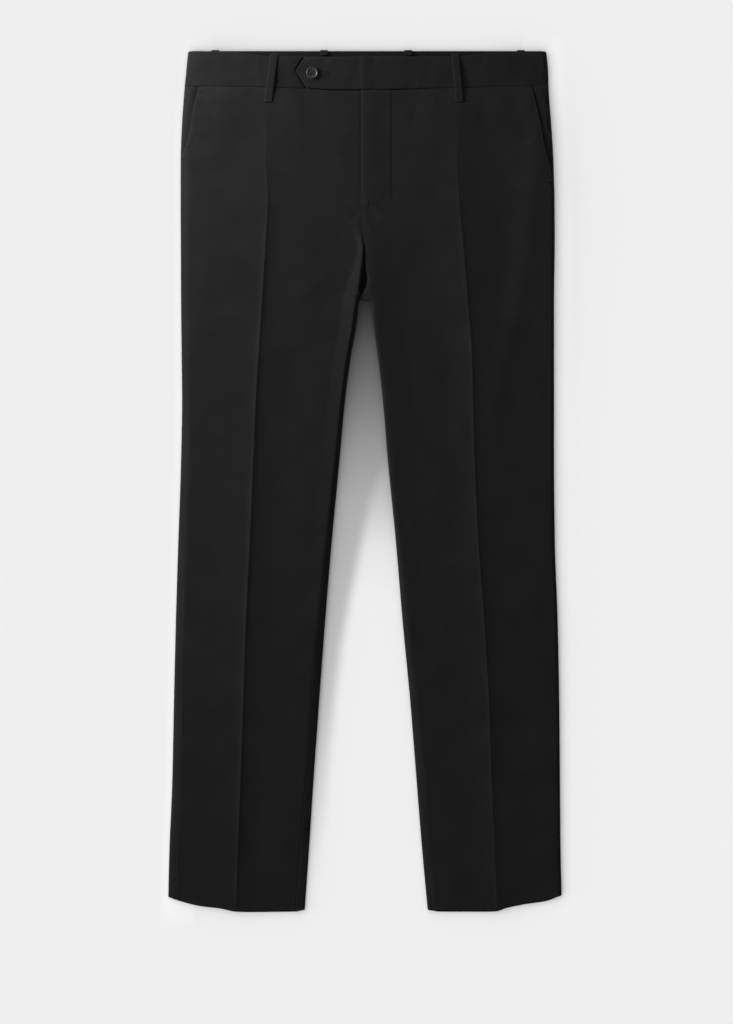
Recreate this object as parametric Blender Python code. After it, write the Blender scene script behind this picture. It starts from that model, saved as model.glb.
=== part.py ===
"""Flat-front trousers laid flat, front up, on a surface at z = 0.

Every piece is a cloth wall. The fronts and backs are worked out from sections across each leg,
one section for each row of a panel. A section is a loop: over the front, round the outer edge,
along the floor and round the inner edge. A panel is a stretch of that loop between two seams.

Lengths below are in millimetres. +X is the wearer's left, +Y runs from the hems to the waist and
+Z is up. "u" is the distance outward from the middle, so x = sign * u on each side.
"""

import bmesh
import bpy
import numpy as np
from mathutils import Matrix

MM = 0.001

# Cloth
WALL = 1.5
FACING_WALL = 1.1
FLY_FACING_WALL = 1.0
BAND_WALL = 2.1
LOOP_WALL = 1.2
GAP = 0.3
FACING_GAP = 0.4

# Heights along the body
CROTCH_Y = 230.0
WAIST_SEAM_SIDE_Y = 491.3
WAIST_SEAM_FRONT_Y = 488.0
WAIST_Y = 490.0
TOP_EDGE_BACK_Y = 535.9
TOP_EDGE_SIDE_Y = 535.2
TOP_EDGE_FRONT_Y = 528.8
TOP_EDGE_DIP_U = (106.0, 186.0)
WAIST_SEAM_RISE_U = (0.0, 190.0)
HEM_Y = -537.0
FLY_END_Y = 352.0
VALLEY_START_Y = 309.0

# The middle
FLY_EDGE_X = -5.0
UNDERLAP_X = 6.0
UNDERLAP_END_X = -6.0
BAND_UNDERLAP_X = 34.0
FRONT_SEAM_X = -3.8
BACK_SEAM_X = -2.0
FLY_RISE = 3.6
FLY_FADE_U = (12.0, 42.0)
VALLEY_FLOOR = 3.5
VALLEY_FLOOR_SHARE = 0.15

# Edges: how round the folded sides are
OUTER_RADIUS = 2.6
BAND_RADIUS = 3.0
HEM_RADIUS = 2.5
HEM_RADIUS_OVER = 60.0
EDGE_POINTS = 9

# The pressed crest falls away over this distance
RIDGE_WIDTH = 7.0

# The belt loops under the back lift the waist off the surface by this much
LOOP_LIFT = LOOP_WALL + GAP
LOOP_LIFT_START_Y = 450.0
LOOP_LIFT_FULL_Y = 470.0

# Pockets: the front lies on the facing
POCKET_RISE = WALL + GAP
POCKET_FADE = (72.0, 34.0)
POCKET_CLOSES_OVER = 10.0
POCKET_FACING_UNDER = (27.0, 12.0, 3.0, 0.0)
POCKET_FACING_SHOWN = (0.4, 0.77, 0.89, 1.0)
POCKET_FACING_BELOW = 22.0

# The fly facing: how far inside the fly's edge it begins, and its columns across
FLY_FACING_INSET = 3.0
FLY_FACING_COLUMNS = (0.0, 0.08, 0.29, 0.71, 1.0)

# Belt loops
LOOP_WIDTH = 9.6
LOOP_HOOK = 5.0
LOOP_BEND = 1.9
LOOP_ARCH = 1.6
LOOP_END_Y = 471.5
LOOP_BEND_TURN = (-90.0, -60.0, -25.0, 25.0, 60.0, 90.0)
BAND_TOP_INSIDE = 2.0
FRONT_LOOP_ROWS = (525.0, 519.0, 512.0, 503.0, 494.0, 488.0, 481.0, LOOP_END_Y)
BACK_LOOP_ROWS = (530.0, 510.0, 491.0, LOOP_END_Y)
FRONT_LOOPS = {
    "belt_loop_front_right": (-113.8, -121.2),
    "belt_loop_front_left": (112.8, 118.2),
}
BACK_LOOPS = {
    "belt_loop_side_right": -186.8,
    "belt_loop_back_right": -51.3,
    "belt_loop_back_left": 53.8,
    "belt_loop_side_left": 195.0,
}

BUTTON_X = -65.7
BUTTON_Y = 507.9
BUTTON_STEPS = 36
BUTTON_HOLE_AT = 1.6
BUTTON_HOLE_RADIUS = 0.9
BUTTON_HOLE_SEGMENTS = 12
BUTTON_WELD = 1e-4
# Its section from the middle of the underside, round the rim, to the middle of the top
BUTTON_PROFILE = (
    *((0.0, 0.0), (6.7, 0.0), (7.5, 0.7), (7.5, 1.8)),
    *((7.0, 2.5), (5.9, 2.6), (5.2, 2.0), (0.0, 1.9)),
)
BUTTON_ROUGHNESS = 0.45

CLOTH_COLOUR = (0.013, 0.013, 0.0135)
CLOTH_ROUGHNESS = 0.9
BUTTON_COLOUR = (0.030, 0.030, 0.031)


def table(columns, *rows):
    """A table with named columns, in rising order of its first one."""
    values = np.array(sorted(rows), float)
    return dict(zip(columns.split(), values.T))


# The outline and the pressed crease of each leg, as distances from the middle.
RIGHT_OUTLINE = table(
    "y outer crease",
    (536.0, 221.0, 123.0),
    (512.5, 223.3, 123.3),
    (490.0, 225.4, 123.5),
    (450.0, 228.5, 123.8),
    (400.0, 230.5, 123.8),
    (350.0, 230.6, 121.3),
    (300.0, 230.4, 123.9),
    (225.0, 230.1, 128.4),
    (150.0, 229.3, 133.4),
    (100.0, 228.8, 136.3),
    (25.0, 230.1, 139.5),
    (-75.0, 233.4, 143.8),
    (-175.0, 236.5, 148.6),
    (-275.0, 238.9, 152.0),
    (-375.0, 241.0, 155.4),
    (-462.5, 244.4, 158.8),
    (-537.5, 246.0, 161.2),
)
LEFT_OUTLINE = table(
    "y outer crease",
    (536.0, 226.5, 115.0),
    (512.5, 228.8, 115.0),
    (490.0, 229.4, 115.0),
    (450.0, 232.4, 115.0),
    (400.0, 235.6, 115.0),
    (350.0, 237.0, 117.3),
    (300.0, 237.3, 121.7),
    (225.0, 236.4, 128.0),
    (150.0, 236.4, 133.4),
    (100.0, 236.4, 134.5),
    (25.0, 236.4, 136.5),
    (-75.0, 237.4, 141.3),
    (-175.0, 240.9, 148.5),
    (-275.0, 242.9, 154.6),
    (-375.0, 243.8, 157.9),
    (-462.5, 244.5, 162.1),
    (-537.5, 245.8, 165.0),
)
RIGHT_INSEAM = table(
    "y inner",
    (228.0, 7.0),
    (200.0, 9.8),
    (150.0, 18.3),
    (100.0, 24.8),
    (25.0, 31.8),
    (-75.0, 41.3),
    (-175.0, 49.6),
    (-275.0, 57.1),
    (-375.0, 64.3),
    (-462.5, 70.1),
    (-537.5, 75.4),
)
LEFT_INSEAM = table(
    "y inner",
    (228.0, 7.0),
    (200.0, 9.5),
    (150.0, 16.3),
    (100.0, 22.1),
    (25.0, 28.4),
    (-75.0, 38.3),
    (-175.0, 46.8),
    (-275.0, 56.3),
    (-375.0, 64.4),
    (-462.5, 71.5),
    (-537.5, 78.4),
)
# How far inside the outline each seam shows on the top face, along the cloth.
RIGHT_SEAMS = table(
    "y outer inner",
    (536.0, 0.0, 0.0),
    (-60.0, 0.0, 0.0),
    (-150.0, 10.0, 0.0),
    (-290.0, 10.5, 0.0),
    (-390.0, 10.5, 12.0),
    (-538.0, 10.5, 13.5),
)
LEFT_SEAMS = table(
    "y outer inner",
    (536.0, 0.0, 0.0),
    (340.0, 0.0, 0.0),
    (300.0, 6.5, 0.0),
    (100.0, 6.5, 0.0),
    (40.0, 0.0, 0.0),
    (-370.0, 0.0, 0.0),
    (-470.0, 0.0, 7.5),
    (-538.0, 0.0, 7.5),
)
# The front's height at half way to the outer edge, at the crease, half way in and at the roll
# of the inner thigh. "ridge" is the pressed crest on top, and "roll_at" the roll's distance
# from the inner edge or the middle.
LOFT = table(
    "y outer crest ridge inner roll_at roll",
    (536.0, 7.6, 7.8, 0.0, 7.4, 72.0, 6.2),
    (490.0, 7.9, 8.0, 0.0, 7.4, 72.0, 6.2),
    (450.0, 9.2, 9.8, 0.0, 9.2, 64.0, 8.2),
    (400.0, 10.2, 11.2, 0.2, 10.6, 55.0, 10.2),
    (350.0, 10.6, 12.0, 0.9, 11.6, 42.0, 11.4),
    (309.0, 10.8, 12.2, 1.3, 12.0, 30.0, 12.4),
    (270.0, 10.8, 12.2, 1.5, 12.2, 21.0, 13.8),
    (234.0, 10.6, 12.0, 1.6, 12.2, 15.0, 14.6),
    (200.0, 10.4, 11.8, 1.6, 11.8, 13.0, 14.0),
    (150.0, 10.0, 11.4, 1.6, 11.0, 15.0, 12.2),
    (100.0, 9.6, 11.0, 1.6, 10.2, 16.0, 10.6),
    (25.0, 9.2, 10.4, 1.6, 9.4, 17.0, 8.8),
    (-75.0, 8.8, 9.9, 1.6, 8.8, 17.0, 7.8),
    (-175.0, 8.5, 9.5, 1.6, 8.4, 17.0, 7.4),
    (-375.0, 8.0, 8.8, 1.4, 7.8, 17.0, 7.0),
    (-500.0, 7.2, 7.7, 0.9, 7.0, 17.0, 6.4),
    (-538.0, 6.2, 6.4, 0.2, 6.1, 17.0, 5.8),
)
# The front's height in the middle. It dives between the thighs towards the crotch.
CENTRE = table(
    "y height",
    (536.0, 6.2),
    (490.0, 5.9),
    (450.0, 7.2),
    (400.0, 9.0),
    (350.0, 10.6),
    (309.0, 11.6),
    (290.0, 9.6),
    (270.0, 6.4),
    (250.0, 4.4),
    (231.0, 3.9),
)
# The inner edge below the crotch: its radius, and how far the front takes to round over it.
INNER_EDGE = table(
    "y radius reach",
    (228.0, 2.6, 4.0),
    (200.0, 4.0, 7.0),
    (150.0, 4.2, 8.0),
    (100.0, 3.8, 6.0),
    (25.0, 3.2, 4.0),
    (-75.0, 2.9, 3.2),
    (-175.0, 2.8, 2.8),
    (-538.0, 2.5, 2.5),
)
# The slanted pocket mouths, from the waist seam to where they meet the outline.
RIGHT_POCKET = table(
    "y mouth",
    (490.0, 207.5),
    (460.5, 214.5),
    (430.0, 219.4),
    (405.0, 228.0),
)
LEFT_POCKET = table(
    "y mouth",
    (490.0, 208.6),
    (447.8, 218.5),
    (413.3, 225.3),
    (390.3, 231.6),
    (370.0, 234.6),
)
# The fly facing's outer edge, just past the J-shaped stitching.
FLY_FACING = table(
    "y edge",
    (490.0, 36.5),
    (400.0, 36.5),
    (379.0, 33.0),
    (361.0, 20.0),
    (352.0, 9.0),
)
# The height of each half of the waistband over its own back, across the front.
RIGHT_BAND = table(
    "u height",
    (-34.0, 6.2),
    (72.0, 6.2),
    (95.0, 7.5),
    (140.0, 7.8),
    (205.0, 7.6),
)
LEFT_BAND = table(
    "u height",
    (-95.0, 10.1),
    (-72.0, 8.8),
    (-8.0, 8.8),
    (-3.0, 9.6),
    (1.5, 9.6),
    (8.0, 8.8),
    (34.0, 8.7),
    (60.0, 7.8),
    (140.0, 7.8),
    (205.0, 7.6),
)
# The pointed end of the tab, from its lower corner to its upper one, and its two long edges.
TAB_END = table(
    "share x",
    (0.0, -73.1),
    (0.57, -86.5),
    (1.0, -75.8),
)
TAB_EDGES = table(
    "x lower upper",
    (-86.5, 490.0, 526.3),
    (-73.1, 490.0, 526.5),
    (-60.0, 488.9, 528.0),
    (-40.0, 487.6, 528.0),
    (-6.0, 487.6, 528.2),
)
# A soft fold that runs down the outer left thigh.
LEFT_FOLD = table(
    "y middle height",
    (490.0, 190.0, 0.0),
    (475.0, 200.0, 0.9),
    (425.0, 216.0, 1.3),
    (325.0, 194.0, 1.5),
    (187.0, 175.0, 1.2),
    (100.0, 156.0, 0.6),
    (60.0, 150.0, 0.0),
)
FOLD_HALF_WIDTH = 14.0
# The hem of each front, by distance from the middle.
RIGHT_HEM = table(
    "u y",
    (75.4, -537.5),
    (161.0, -538.2),
    (181.3, -534.4),
    (206.3, -531.4),
    (245.6, -521.3),
)
LEFT_HEM = table(
    "u y",
    (77.5, -537.5),
    (165.0, -537.8),
    (175.0, -534.4),
    (200.0, -529.1),
    (225.0, -525.4),
    (245.5, -519.4),
)
BACK_HEM_DROP = 1.2
BACK_HEM_FADE = (3.0, 18.0)
HEM_CURVE_START_Y = -410.0
WAIST_CURVE_START_Y = 463.0

# The spacing of a front's columns, along the cloth
NEAR_EDGE = 8.5
INSIDE_EDGE = 25.0
BY_CREST = 9.0
LEAST_EDGE = 3.0
MIDDLE_EDGE = 6.0
# Round the inner edge the cloth is this much longer than the edge's reach.
INNER_EDGE_LENGTH = 1.3

# The columns of a back: shares of the quarter turn down to the floor and up from it, the
# distances from the first and the last of them to those on the floor, and those by the seat seam.
BACK_TURN = 0.25
BACK_ROUND = (0.0, 0.34, 0.67, 1.0)
BACK_DOWN = (0.62, 1.0)
BACK_UP = (1.0, 0.6)
BACK_UP_ROUND = (0.0, 0.5, 1.0)
BACK_FLAT_FROM = 30.0
BACK_FLAT_TO = 20.0
BACK_MIDDLE = (6.0, 4.0, 2.0, 1.0, 0.0)

# The waistband's rows, and its columns by distance from the middle
BAND_ROWS = 5
RIGHT_BAND_COLUMNS = (-5.0, 30.0, 60.0, 72.0, 84.0, 95.0, 120.0, 160.0, 195.0, 212.0)
LEFT_BAND_COLUMNS = (
    *(-66.0, -40.0, -8.0, -3.0, 1.5, 8.0, BAND_UNDERLAP_X),
    *(46.0, 60.0, 100.0, 150.0, 195.0, 215.0),
)
TAB_END_COLUMN = 5.0
BAND_ROUND = (-1.0, -0.5, 0.0, 0.5, 1.0)
BAND_BACK_COLUMNS = 3

RIGHT_HIP_ROWS = (490.0, 478.0, 463.0, 447.0, 431.0, 417.0, 405.0, 395.0, 384.0, 372.0, 361.0, 352.0)
LEFT_HIP_ROWS = (490.0, 475.0, 458.0, 440.0, 422.0, 404.0, 390.0, 379.0, 370.0, 361.0, 352.0)
FORK_ROWS = (341.0, 325.0, 309.0, 295.0, 281.0, 267.0, 254.0, 243.0, 234.0)
LEG_ROWS = (
    *(226.0, 217.0, 205.0, 190.0, 170.0, 145.0, 115.0, 80.0, 45.0, 10.0, -30.0, -75.0, -125.0),
    *(-175.0, -230.0, -290.0, -350.0, -410.0, -460.0, -500.0, -522.0, HEM_Y),
)

SIDES = {
    "right": {
        "sign": -1,
        "outline": RIGHT_OUTLINE,
        "inseam": RIGHT_INSEAM,
        "seams": RIGHT_SEAMS,
        "pocket": RIGHT_POCKET,
        "hem": RIGHT_HEM,
        "band": RIGHT_BAND,
        "band_columns": RIGHT_BAND_COLUMNS,
        "rows": RIGHT_HIP_ROWS + FORK_ROWS + LEG_ROWS,
    },
    "left": {
        "sign": 1,
        "outline": LEFT_OUTLINE,
        "inseam": LEFT_INSEAM,
        "seams": LEFT_SEAMS,
        "pocket": LEFT_POCKET,
        "hem": LEFT_HEM,
        "band": LEFT_BAND,
        "band_columns": LEFT_BAND_COLUMNS,
        "rows": LEFT_HIP_ROWS + FORK_ROWS + LEG_ROWS,
    },
}


def smooth(value):
    value = np.clip(value, 0.0, 1.0)
    return value * value * (3.0 - 2.0 * value)


def fade_between(value, start, end):
    """0 up to start, 1 from end on, and smooth between them."""
    return smooth((value - start) / (end - start))


def curve(xs, ys, x):
    """A smooth curve through the points that never overshoots them (monotone cubic)."""
    xs = np.asarray(xs, float)
    ys = np.asarray(ys, float)
    step = np.diff(xs)
    rise = np.diff(ys) / step
    slope = np.zeros(len(xs))
    same_way = rise[:-1] * rise[1:] > 0.0
    before = 2.0 * step[1:] + step[:-1]
    after = step[1:] + 2.0 * step[:-1]
    bottom = before / np.where(same_way, rise[:-1], 1.0) + after / np.where(same_way, rise[1:], 1.0)
    slope[1:-1] = np.where(same_way, (before + after) / bottom, 0.0)
    slope[0] = rise[0]
    slope[-1] = rise[-1]
    x = np.clip(np.asarray(x, float), xs[0], xs[-1])
    i = np.clip(np.searchsorted(xs, x, side="right") - 1, 0, len(xs) - 2)
    t = (x - xs[i]) / step[i]
    start = (1.0 + 2.0 * t) * (1.0 - t) ** 2 * ys[i] + t * (1.0 - t) ** 2 * step[i] * slope[i]
    end = t * t * (3.0 - 2.0 * t) * ys[i + 1] + t * t * (t - 1.0) * step[i] * slope[i + 1]
    return start + end


def at(rows, name, y):
    return float(curve(rows["y"], rows[name], y))


def floor_height(y):
    """The waist rests on the belt loops under it, and the rest on the surface."""
    return LOOP_LIFT * float(fade_between(y, LOOP_LIFT_START_Y, LOOP_LIFT_FULL_Y))


def valley_x(y):
    """The front seam: left of the middle by the fly, and in the middle at the crotch."""
    return FRONT_SEAM_X * float(fade_between(y, CROTCH_Y, VALLEY_START_Y))


def pocket_share(side, y):
    """1 where the front lies on the pocket facing, 0 from just below the pocket's mouth."""
    end = side["pocket"]["y"][0]
    return float(np.clip((y - end + POCKET_CLOSES_OVER) / POCKET_CLOSES_OVER, 0.0, 1.0))


def front_height(side, y, u, rise=POCKET_RISE):
    """The height of the front's outer face, away from the rounded edges."""
    outer = at(side["outline"], "outer", y)
    crease = at(side["outline"], "crease", y)
    roll = at(LOFT, "roll", y)
    if y > CROTCH_Y:
        start = side["sign"] * valley_x(y)
        centre = at(CENTRE, "height", y)
        floor = centre + VALLEY_FLOOR_SHARE * (roll - centre)
        knots = [(start, centre), (start + VALLEY_FLOOR, floor)]
    else:
        start = at(side["inseam"], "inner", y)
        knots = [(start, 2.0 * at(INNER_EDGE, "radius", y))]
    roll_u = start + at(LOFT, "roll_at", y)
    knots += [
        (roll_u, roll),
        ((roll_u + crease) / 2.0, at(LOFT, "inner", y)),
        (crease, at(LOFT, "crest", y)),
        ((crease + outer) / 2.0, at(LOFT, "outer", y)),
        (outer, 2.0 * edge_radius(y)),
    ]
    height = curve(*zip(*knots), u)
    height = height + at(LOFT, "ridge", y) * np.exp(-np.abs(u - crease) / RIDGE_WIDTH)
    mouth = at(side["pocket"], "mouth", y)
    fade = fade_between(u, mouth - POCKET_FADE[0], mouth - POCKET_FADE[1])
    height = height + rise * pocket_share(side, y) * fade
    if side["sign"] > 0:
        middle = at(LEFT_FOLD, "middle", y)
        height = height + at(LEFT_FOLD, "height", y) * np.exp(-(((u - middle) / FOLD_HALF_WIDTH) ** 2))
        if y >= FLY_END_Y:
            height = height + FLY_RISE * (1.0 - fade_between(u, *FLY_FADE_U))
    return height


def edge_radius(y):
    share = float(fade_between(y, HEM_Y, HEM_Y + HEM_RADIUS_OVER))
    return HEM_RADIUS + (OUTER_RADIUS - HEM_RADIUS) * share


def front_start(side, y):
    """Where the front begins in the middle, above the crotch.

    The left front covers the right one at the fly. The right one draws back where the fly ends.
    """
    if y >= FLY_END_Y and side["sign"] > 0:
        return FLY_EDGE_X
    if y >= FLY_END_Y:
        return -UNDERLAP_X if y > FLY_END_Y else -UNDERLAP_END_X
    return side["sign"] * valley_x(y) + GAP / 2.0


def back_end(side, y):
    """Where the back ends in the middle, above the crotch."""
    seam = BACK_SEAM_X * fade_between(y, CROTCH_Y, WAIST_Y)
    return side["sign"] * float(seam) + GAP / 2.0


# A closed loop repeats some points, so that a panel can run on past its start.
REPEATED = 60
TOP_POINTS = 400
FLOOR_POINTS = 60


def edge_arc(reach):
    """Distances from the outline and shares of the height, round a quarter of an edge."""
    turn = np.linspace(0.0, np.pi / 2.0, EDGE_POINTS)
    return reach * (1.0 - np.cos(turn)), np.sin(turn)


def loop(height, start, inner, outer, end, floor):
    """The closed section as (u, z) points, and the length of its stretch over the front.

    inner and outer are (u, radius, reach) of the rounded edges. Without an inner edge the front
    begins at start and the floor ends at end.
    """
    outer_u, outer_r, outer_reach = outer
    distance, share = edge_arc(outer_reach)
    if inner:
        inner_u, inner_r, inner_reach = inner
        inner_distance, inner_share = edge_arc(inner_reach)
        u = inner_u + inner_distance
        first = np.stack([u, inner_r + (height(u) - inner_r) * inner_share], axis=1)
        flat_from = inner_u + inner_reach
    else:
        first = np.array([[start, float(height(np.array([start]))[0])]])
        flat_from = start
    u = np.linspace(flat_from, outer_u - outer_reach, TOP_POINTS)[1:-1]
    middle = np.stack([u, height(u)], axis=1)
    u = outer_u - distance[::-1]
    last = np.stack([u, outer_r + (height(u) - outer_r) * share[::-1]], axis=1)
    over = np.concatenate([first, middle, last])
    distance, share = edge_arc(outer_r)
    down = np.stack([outer_u - distance, outer_r * (1.0 - share)], axis=1)[1:]
    if inner:
        distance, share = edge_arc(inner_r)
        up = np.stack([inner_u + distance, inner_r * (1.0 - share)], axis=1)[::-1]
    else:
        up = np.array([[end, 0.0]])
    along = np.linspace(down[-1], up[0], FLOOR_POINTS)[1:-1]
    under = np.concatenate([down, along, up])
    over_length = np.linalg.norm(np.diff(over, axis=0), axis=1).sum()
    points = np.concatenate([over, under])
    if inner:
        points = np.concatenate([points, over[1 : REPEATED + 1]])
    points[:, 1] += floor
    return points, over_length


class Section:
    """One section of a side: points by their distance along the loop, and the way into the cloth."""

    def __init__(self, points, over_length, closed):
        self.points = points
        steps = np.linalg.norm(np.diff(points, axis=0), axis=1)
        self.along = np.concatenate([[0.0], np.cumsum(steps)])
        self.over = over_length
        self.around = self.along[-REPEATED - 1] if closed else self.along[-1]
        tangent = np.gradient(points, axis=0)
        if closed:
            tangent[0] = tangent[-REPEATED - 1]
        tangent /= np.linalg.norm(tangent, axis=1)[:, None]
        self.inward = np.stack([tangent[:, 1], -tangent[:, 0]], axis=1)

    def point(self, distance, depth=0.0):
        """Points at these distances along the loop, moved into the cloth by depth."""
        place = np.stack([np.interp(distance, self.along, self.points[:, k]) for k in (0, 1)], axis=-1)
        inward = np.stack([np.interp(distance, self.along, self.inward[:, k]) for k in (0, 1)], axis=-1)
        inward /= np.linalg.norm(inward, axis=-1)[..., None]
        return place + depth * inward

    def distance_at(self, u):
        """The distance along the front at which it is this far from the middle."""
        over = self.along <= self.over + 1e-6
        return float(np.interp(u, self.points[over, 0], self.along[over]))


def leg_section(side, y, rise=POCKET_RISE):
    outer = (at(side["outline"], "outer", y), edge_radius(y), edge_radius(y))
    inner = None
    if y <= CROTCH_Y:
        inner = (
            at(side["inseam"], "inner", y),
            at(INNER_EDGE, "radius", y),
            at(INNER_EDGE, "reach", y),
        )
    points, over = loop(
        lambda u: front_height(side, y, u, rise),
        front_start(side, y),
        inner,
        outer,
        back_end(side, y),
        floor_height(y),
    )
    return Section(points, over, closed=inner is not None)


def spaced(start, crease, end, start_edge, end_edge):
    """The columns of a front: close together round its edges and by the crest of the crease."""
    near = NEAR_EDGE
    inside = start + start_edge + INSIDE_EDGE
    outside = end - end_edge - INSIDE_EDGE
    first = [start, start + start_edge / 2.0, start + start_edge, start + start_edge + near, inside]
    last = [outside, end - end_edge - near, end - end_edge, end - end_edge / 2.0, end]
    low = crease - BY_CREST
    high = crease + BY_CREST
    middle = [(inside + low) / 2.0, low, crease, high, (outside + high) / 2.0]
    return np.array(first + middle + last)


def seam_shift(side, y, name):
    return float(np.interp(y, side["seams"]["y"], side["seams"][name]))


def front_columns(side, y, section):
    """Distances along the loop of a front's columns in the row at y."""
    crease = section.distance_at(at(side["outline"], "crease", y))
    start = GAP / 2.0 + seam_shift(side, y, "inner") if y <= CROTCH_Y else 0.0
    end = section.over - GAP / 2.0 - seam_shift(side, y, "outer")
    if y >= side["pocket"]["y"][0]:
        end = section.distance_at(at(side["pocket"], "mouth", y))
    start_edge = MIDDLE_EDGE
    if y <= CROTCH_Y:
        rounded = INNER_EDGE_LENGTH * at(INNER_EDGE, "reach", y)
        start_edge = max(LEAST_EDGE, rounded - seam_shift(side, y, "inner"))
    rounded = np.pi / 2.0 * edge_radius(y)
    end_edge = max(LEAST_EDGE, rounded - seam_shift(side, y, "outer"))
    return spaced(start, crease, end, start_edge, end_edge)


def back_columns(side, y, section):
    """Distances along the loop of a back's columns: round the outer edge, under, and up again."""
    quarter = np.pi / 2.0 * edge_radius(y)
    start = section.over - seam_shift(side, y, "outer") + GAP / 2.0
    turned = section.over + BACK_TURN * quarter
    down = start + np.array(BACK_ROUND) * (turned - start)
    flat = section.over + quarter * np.array(BACK_DOWN)
    if y > CROTCH_Y:
        end = section.around - np.array(BACK_MIDDLE)
        across = [flat[-1] + BACK_FLAT_FROM, end[0] - BACK_FLAT_TO]
        return np.concatenate([down, flat, across, end])
    quarter = np.pi / 2.0 * at(INNER_EDGE, "radius", y)
    bend = section.around - quarter * np.array(BACK_UP)
    turned = section.around - BACK_TURN * quarter
    end = section.around + seam_shift(side, y, "inner") - GAP / 2.0
    up = turned + np.array(BACK_UP_ROUND) * (end - turned)
    across = [flat[-1] + BACK_FLAT_FROM, bend[0] - BACK_FLAT_TO]
    return np.concatenate([down, flat, across, bend, up])


def waist_seam_y(u):
    share = fade_between(np.abs(u), *WAIST_SEAM_RISE_U)
    return WAIST_SEAM_FRONT_Y + (WAIST_SEAM_SIDE_Y - WAIST_SEAM_FRONT_Y) * share


def follow_edges(side, y, u, back):
    """The true y of points in a row, which bends to the waist seam at the top and to the hem."""
    result = np.full(len(u), y)
    near_waist = float(fade_between(y, WAIST_CURVE_START_Y, WAIST_Y))
    seam = WAIST_SEAM_SIDE_Y if back else waist_seam_y(u)
    result = result + near_waist * (seam - GAP / 2.0 - WAIST_Y)
    near_hem = float(fade_between(y, HEM_CURVE_START_Y, HEM_Y))
    hem = curve(side["hem"]["u"], side["hem"]["y"], u)
    if back:
        from_edge = np.minimum(u - side["hem"]["u"][0], side["hem"]["u"][-1] - u)
        hem = hem - BACK_HEM_DROP * fade_between(from_edge, *BACK_HEM_FADE)
    return result + near_hem * (hem - HEM_Y)


def panel_grid(side, rows, columns, depth, back=False):
    """Points of a panel, one row for each y, at this depth into the cloth."""
    grid = []
    for y in rows:
        section = leg_section(side, y)
        place = section.point(columns(side, y, section), depth)
        outer_face = section.point(columns(side, y, section))
        true_y = follow_edges(side, y, outer_face[:, 0], back)
        grid.append(np.stack([side["sign"] * place[:, 0], true_y, place[:, 1]], axis=1))
    return np.array(grid)


def new_material(name, colour, roughness):
    material = bpy.data.materials.new(name)
    material.use_nodes = True
    shader = material.node_tree.nodes["Principled BSDF"]
    shader.inputs["Base Color"].default_value = (*colour, 1.0)
    shader.inputs["Roughness"].default_value = roughness
    shader.inputs["Metallic"].default_value = 0.0
    material.diffuse_color = (*colour, 1.0)
    return material


def add_object(name, build, parent, colour=CLOTH_COLOUR, roughness=CLOTH_ROUGHNESS):
    """Makes a closed body from what build(bm) draws in millimetres, with its origin at its middle."""
    mesh = bpy.data.meshes.new(name)
    bm = bmesh.new()
    build(bm)
    bmesh.ops.scale(bm, vec=(MM, MM, MM), verts=bm.verts)
    corners = np.array([vert.co for vert in bm.verts])
    middle = (corners.min(axis=0) + corners.max(axis=0)) / 2.0
    bmesh.ops.translate(bm, vec=-middle, verts=bm.verts)
    bmesh.ops.recalc_face_normals(bm, faces=bm.faces)
    bm.to_mesh(mesh)
    bm.free()
    item = bpy.data.objects.new(name, mesh)
    bpy.context.scene.collection.objects.link(item)
    item.location = middle
    item.parent = parent
    item.data.materials.append(new_material(name + "_finish", colour, roughness))
    return item


def draw_sheet(bm, outer, inner):
    """A closed wall between two grids of points with the same rows and columns."""
    rows, columns = outer.shape[:2]
    faces = [[[bm.verts.new(point) for point in row] for row in grid] for grid in (outer, inner)]
    for grid in faces:
        for i in range(rows - 1):
            for j in range(columns - 1):
                a, b = grid[i][j], grid[i][j + 1]
                c, d = grid[i + 1][j + 1], grid[i + 1][j]
                bm.faces.new((a, b, c))
                bm.faces.new((a, c, d))
    top, bottom = faces
    around = [(0, j) for j in range(columns)]
    around += [(i, columns - 1) for i in range(1, rows)]
    around += [(rows - 1, j) for j in range(columns - 2, -1, -1)]
    around += [(i, 0) for i in range(rows - 2, 0, -1)]
    for k, here in enumerate(around):
        there = around[(k + 1) % len(around)]
        # Neighbours share their seam's points, so both cut its strip along the same diagonal.
        (i, j), (m, n) = sorted((here, there))
        bm.faces.new((top[i][j], top[m][n], bottom[m][n]))
        bm.faces.new((top[i][j], bottom[m][n], bottom[i][j]))


def panel_walls(side, columns, back=False):
    """The outer and inner grids of a front or a back."""
    return [panel_grid(side, side["rows"], columns, depth, back) for depth in (0.0, WALL)]


def pocket_facing_grid(side, front_inner, depth):
    """The facing under a front, from well inside the pocket mouth out to the side seam.

    Below the mouth, and inside it, the facing follows the front's inner face.
    """
    end = side["pocket"]["y"][0]
    grid = []
    for row, y in zip(front_inner, side["rows"]):
        if y < end - POCKET_FACING_BELOW:
            break
        section = leg_section(side, y, rise=0.0)
        row_u = side["sign"] * row[:, 0]
        open_here = y >= end
        mouth_u = at(side["pocket"], "mouth", y) if open_here else row_u[-1] - NEAR_EDGE
        under_u = mouth_u - np.array(POCKET_FACING_UNDER)
        mouth = section.distance_at(mouth_u)
        edge = section.over - (GAP / 2.0 if open_here else MIDDLE_EDGE)
        shown = mouth + np.array(POCKET_FACING_SHOWN) * (edge - mouth)
        face = section.point(shown)
        u = np.concatenate([under_u, face[:, 0]])
        z = np.interp(u, row_u, row[:, 2]) - FACING_GAP - depth
        if open_here:
            place = section.point(shown, depth)
            u = np.concatenate([under_u, place[:, 0]])
            z[len(under_u) :] = place[:, 1]
        true_y = follow_edges(side, y, np.concatenate([under_u, face[:, 0]]), back=False)
        grid.append(np.stack([side["sign"] * u, true_y, z], axis=1))
    return np.array(grid)


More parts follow.
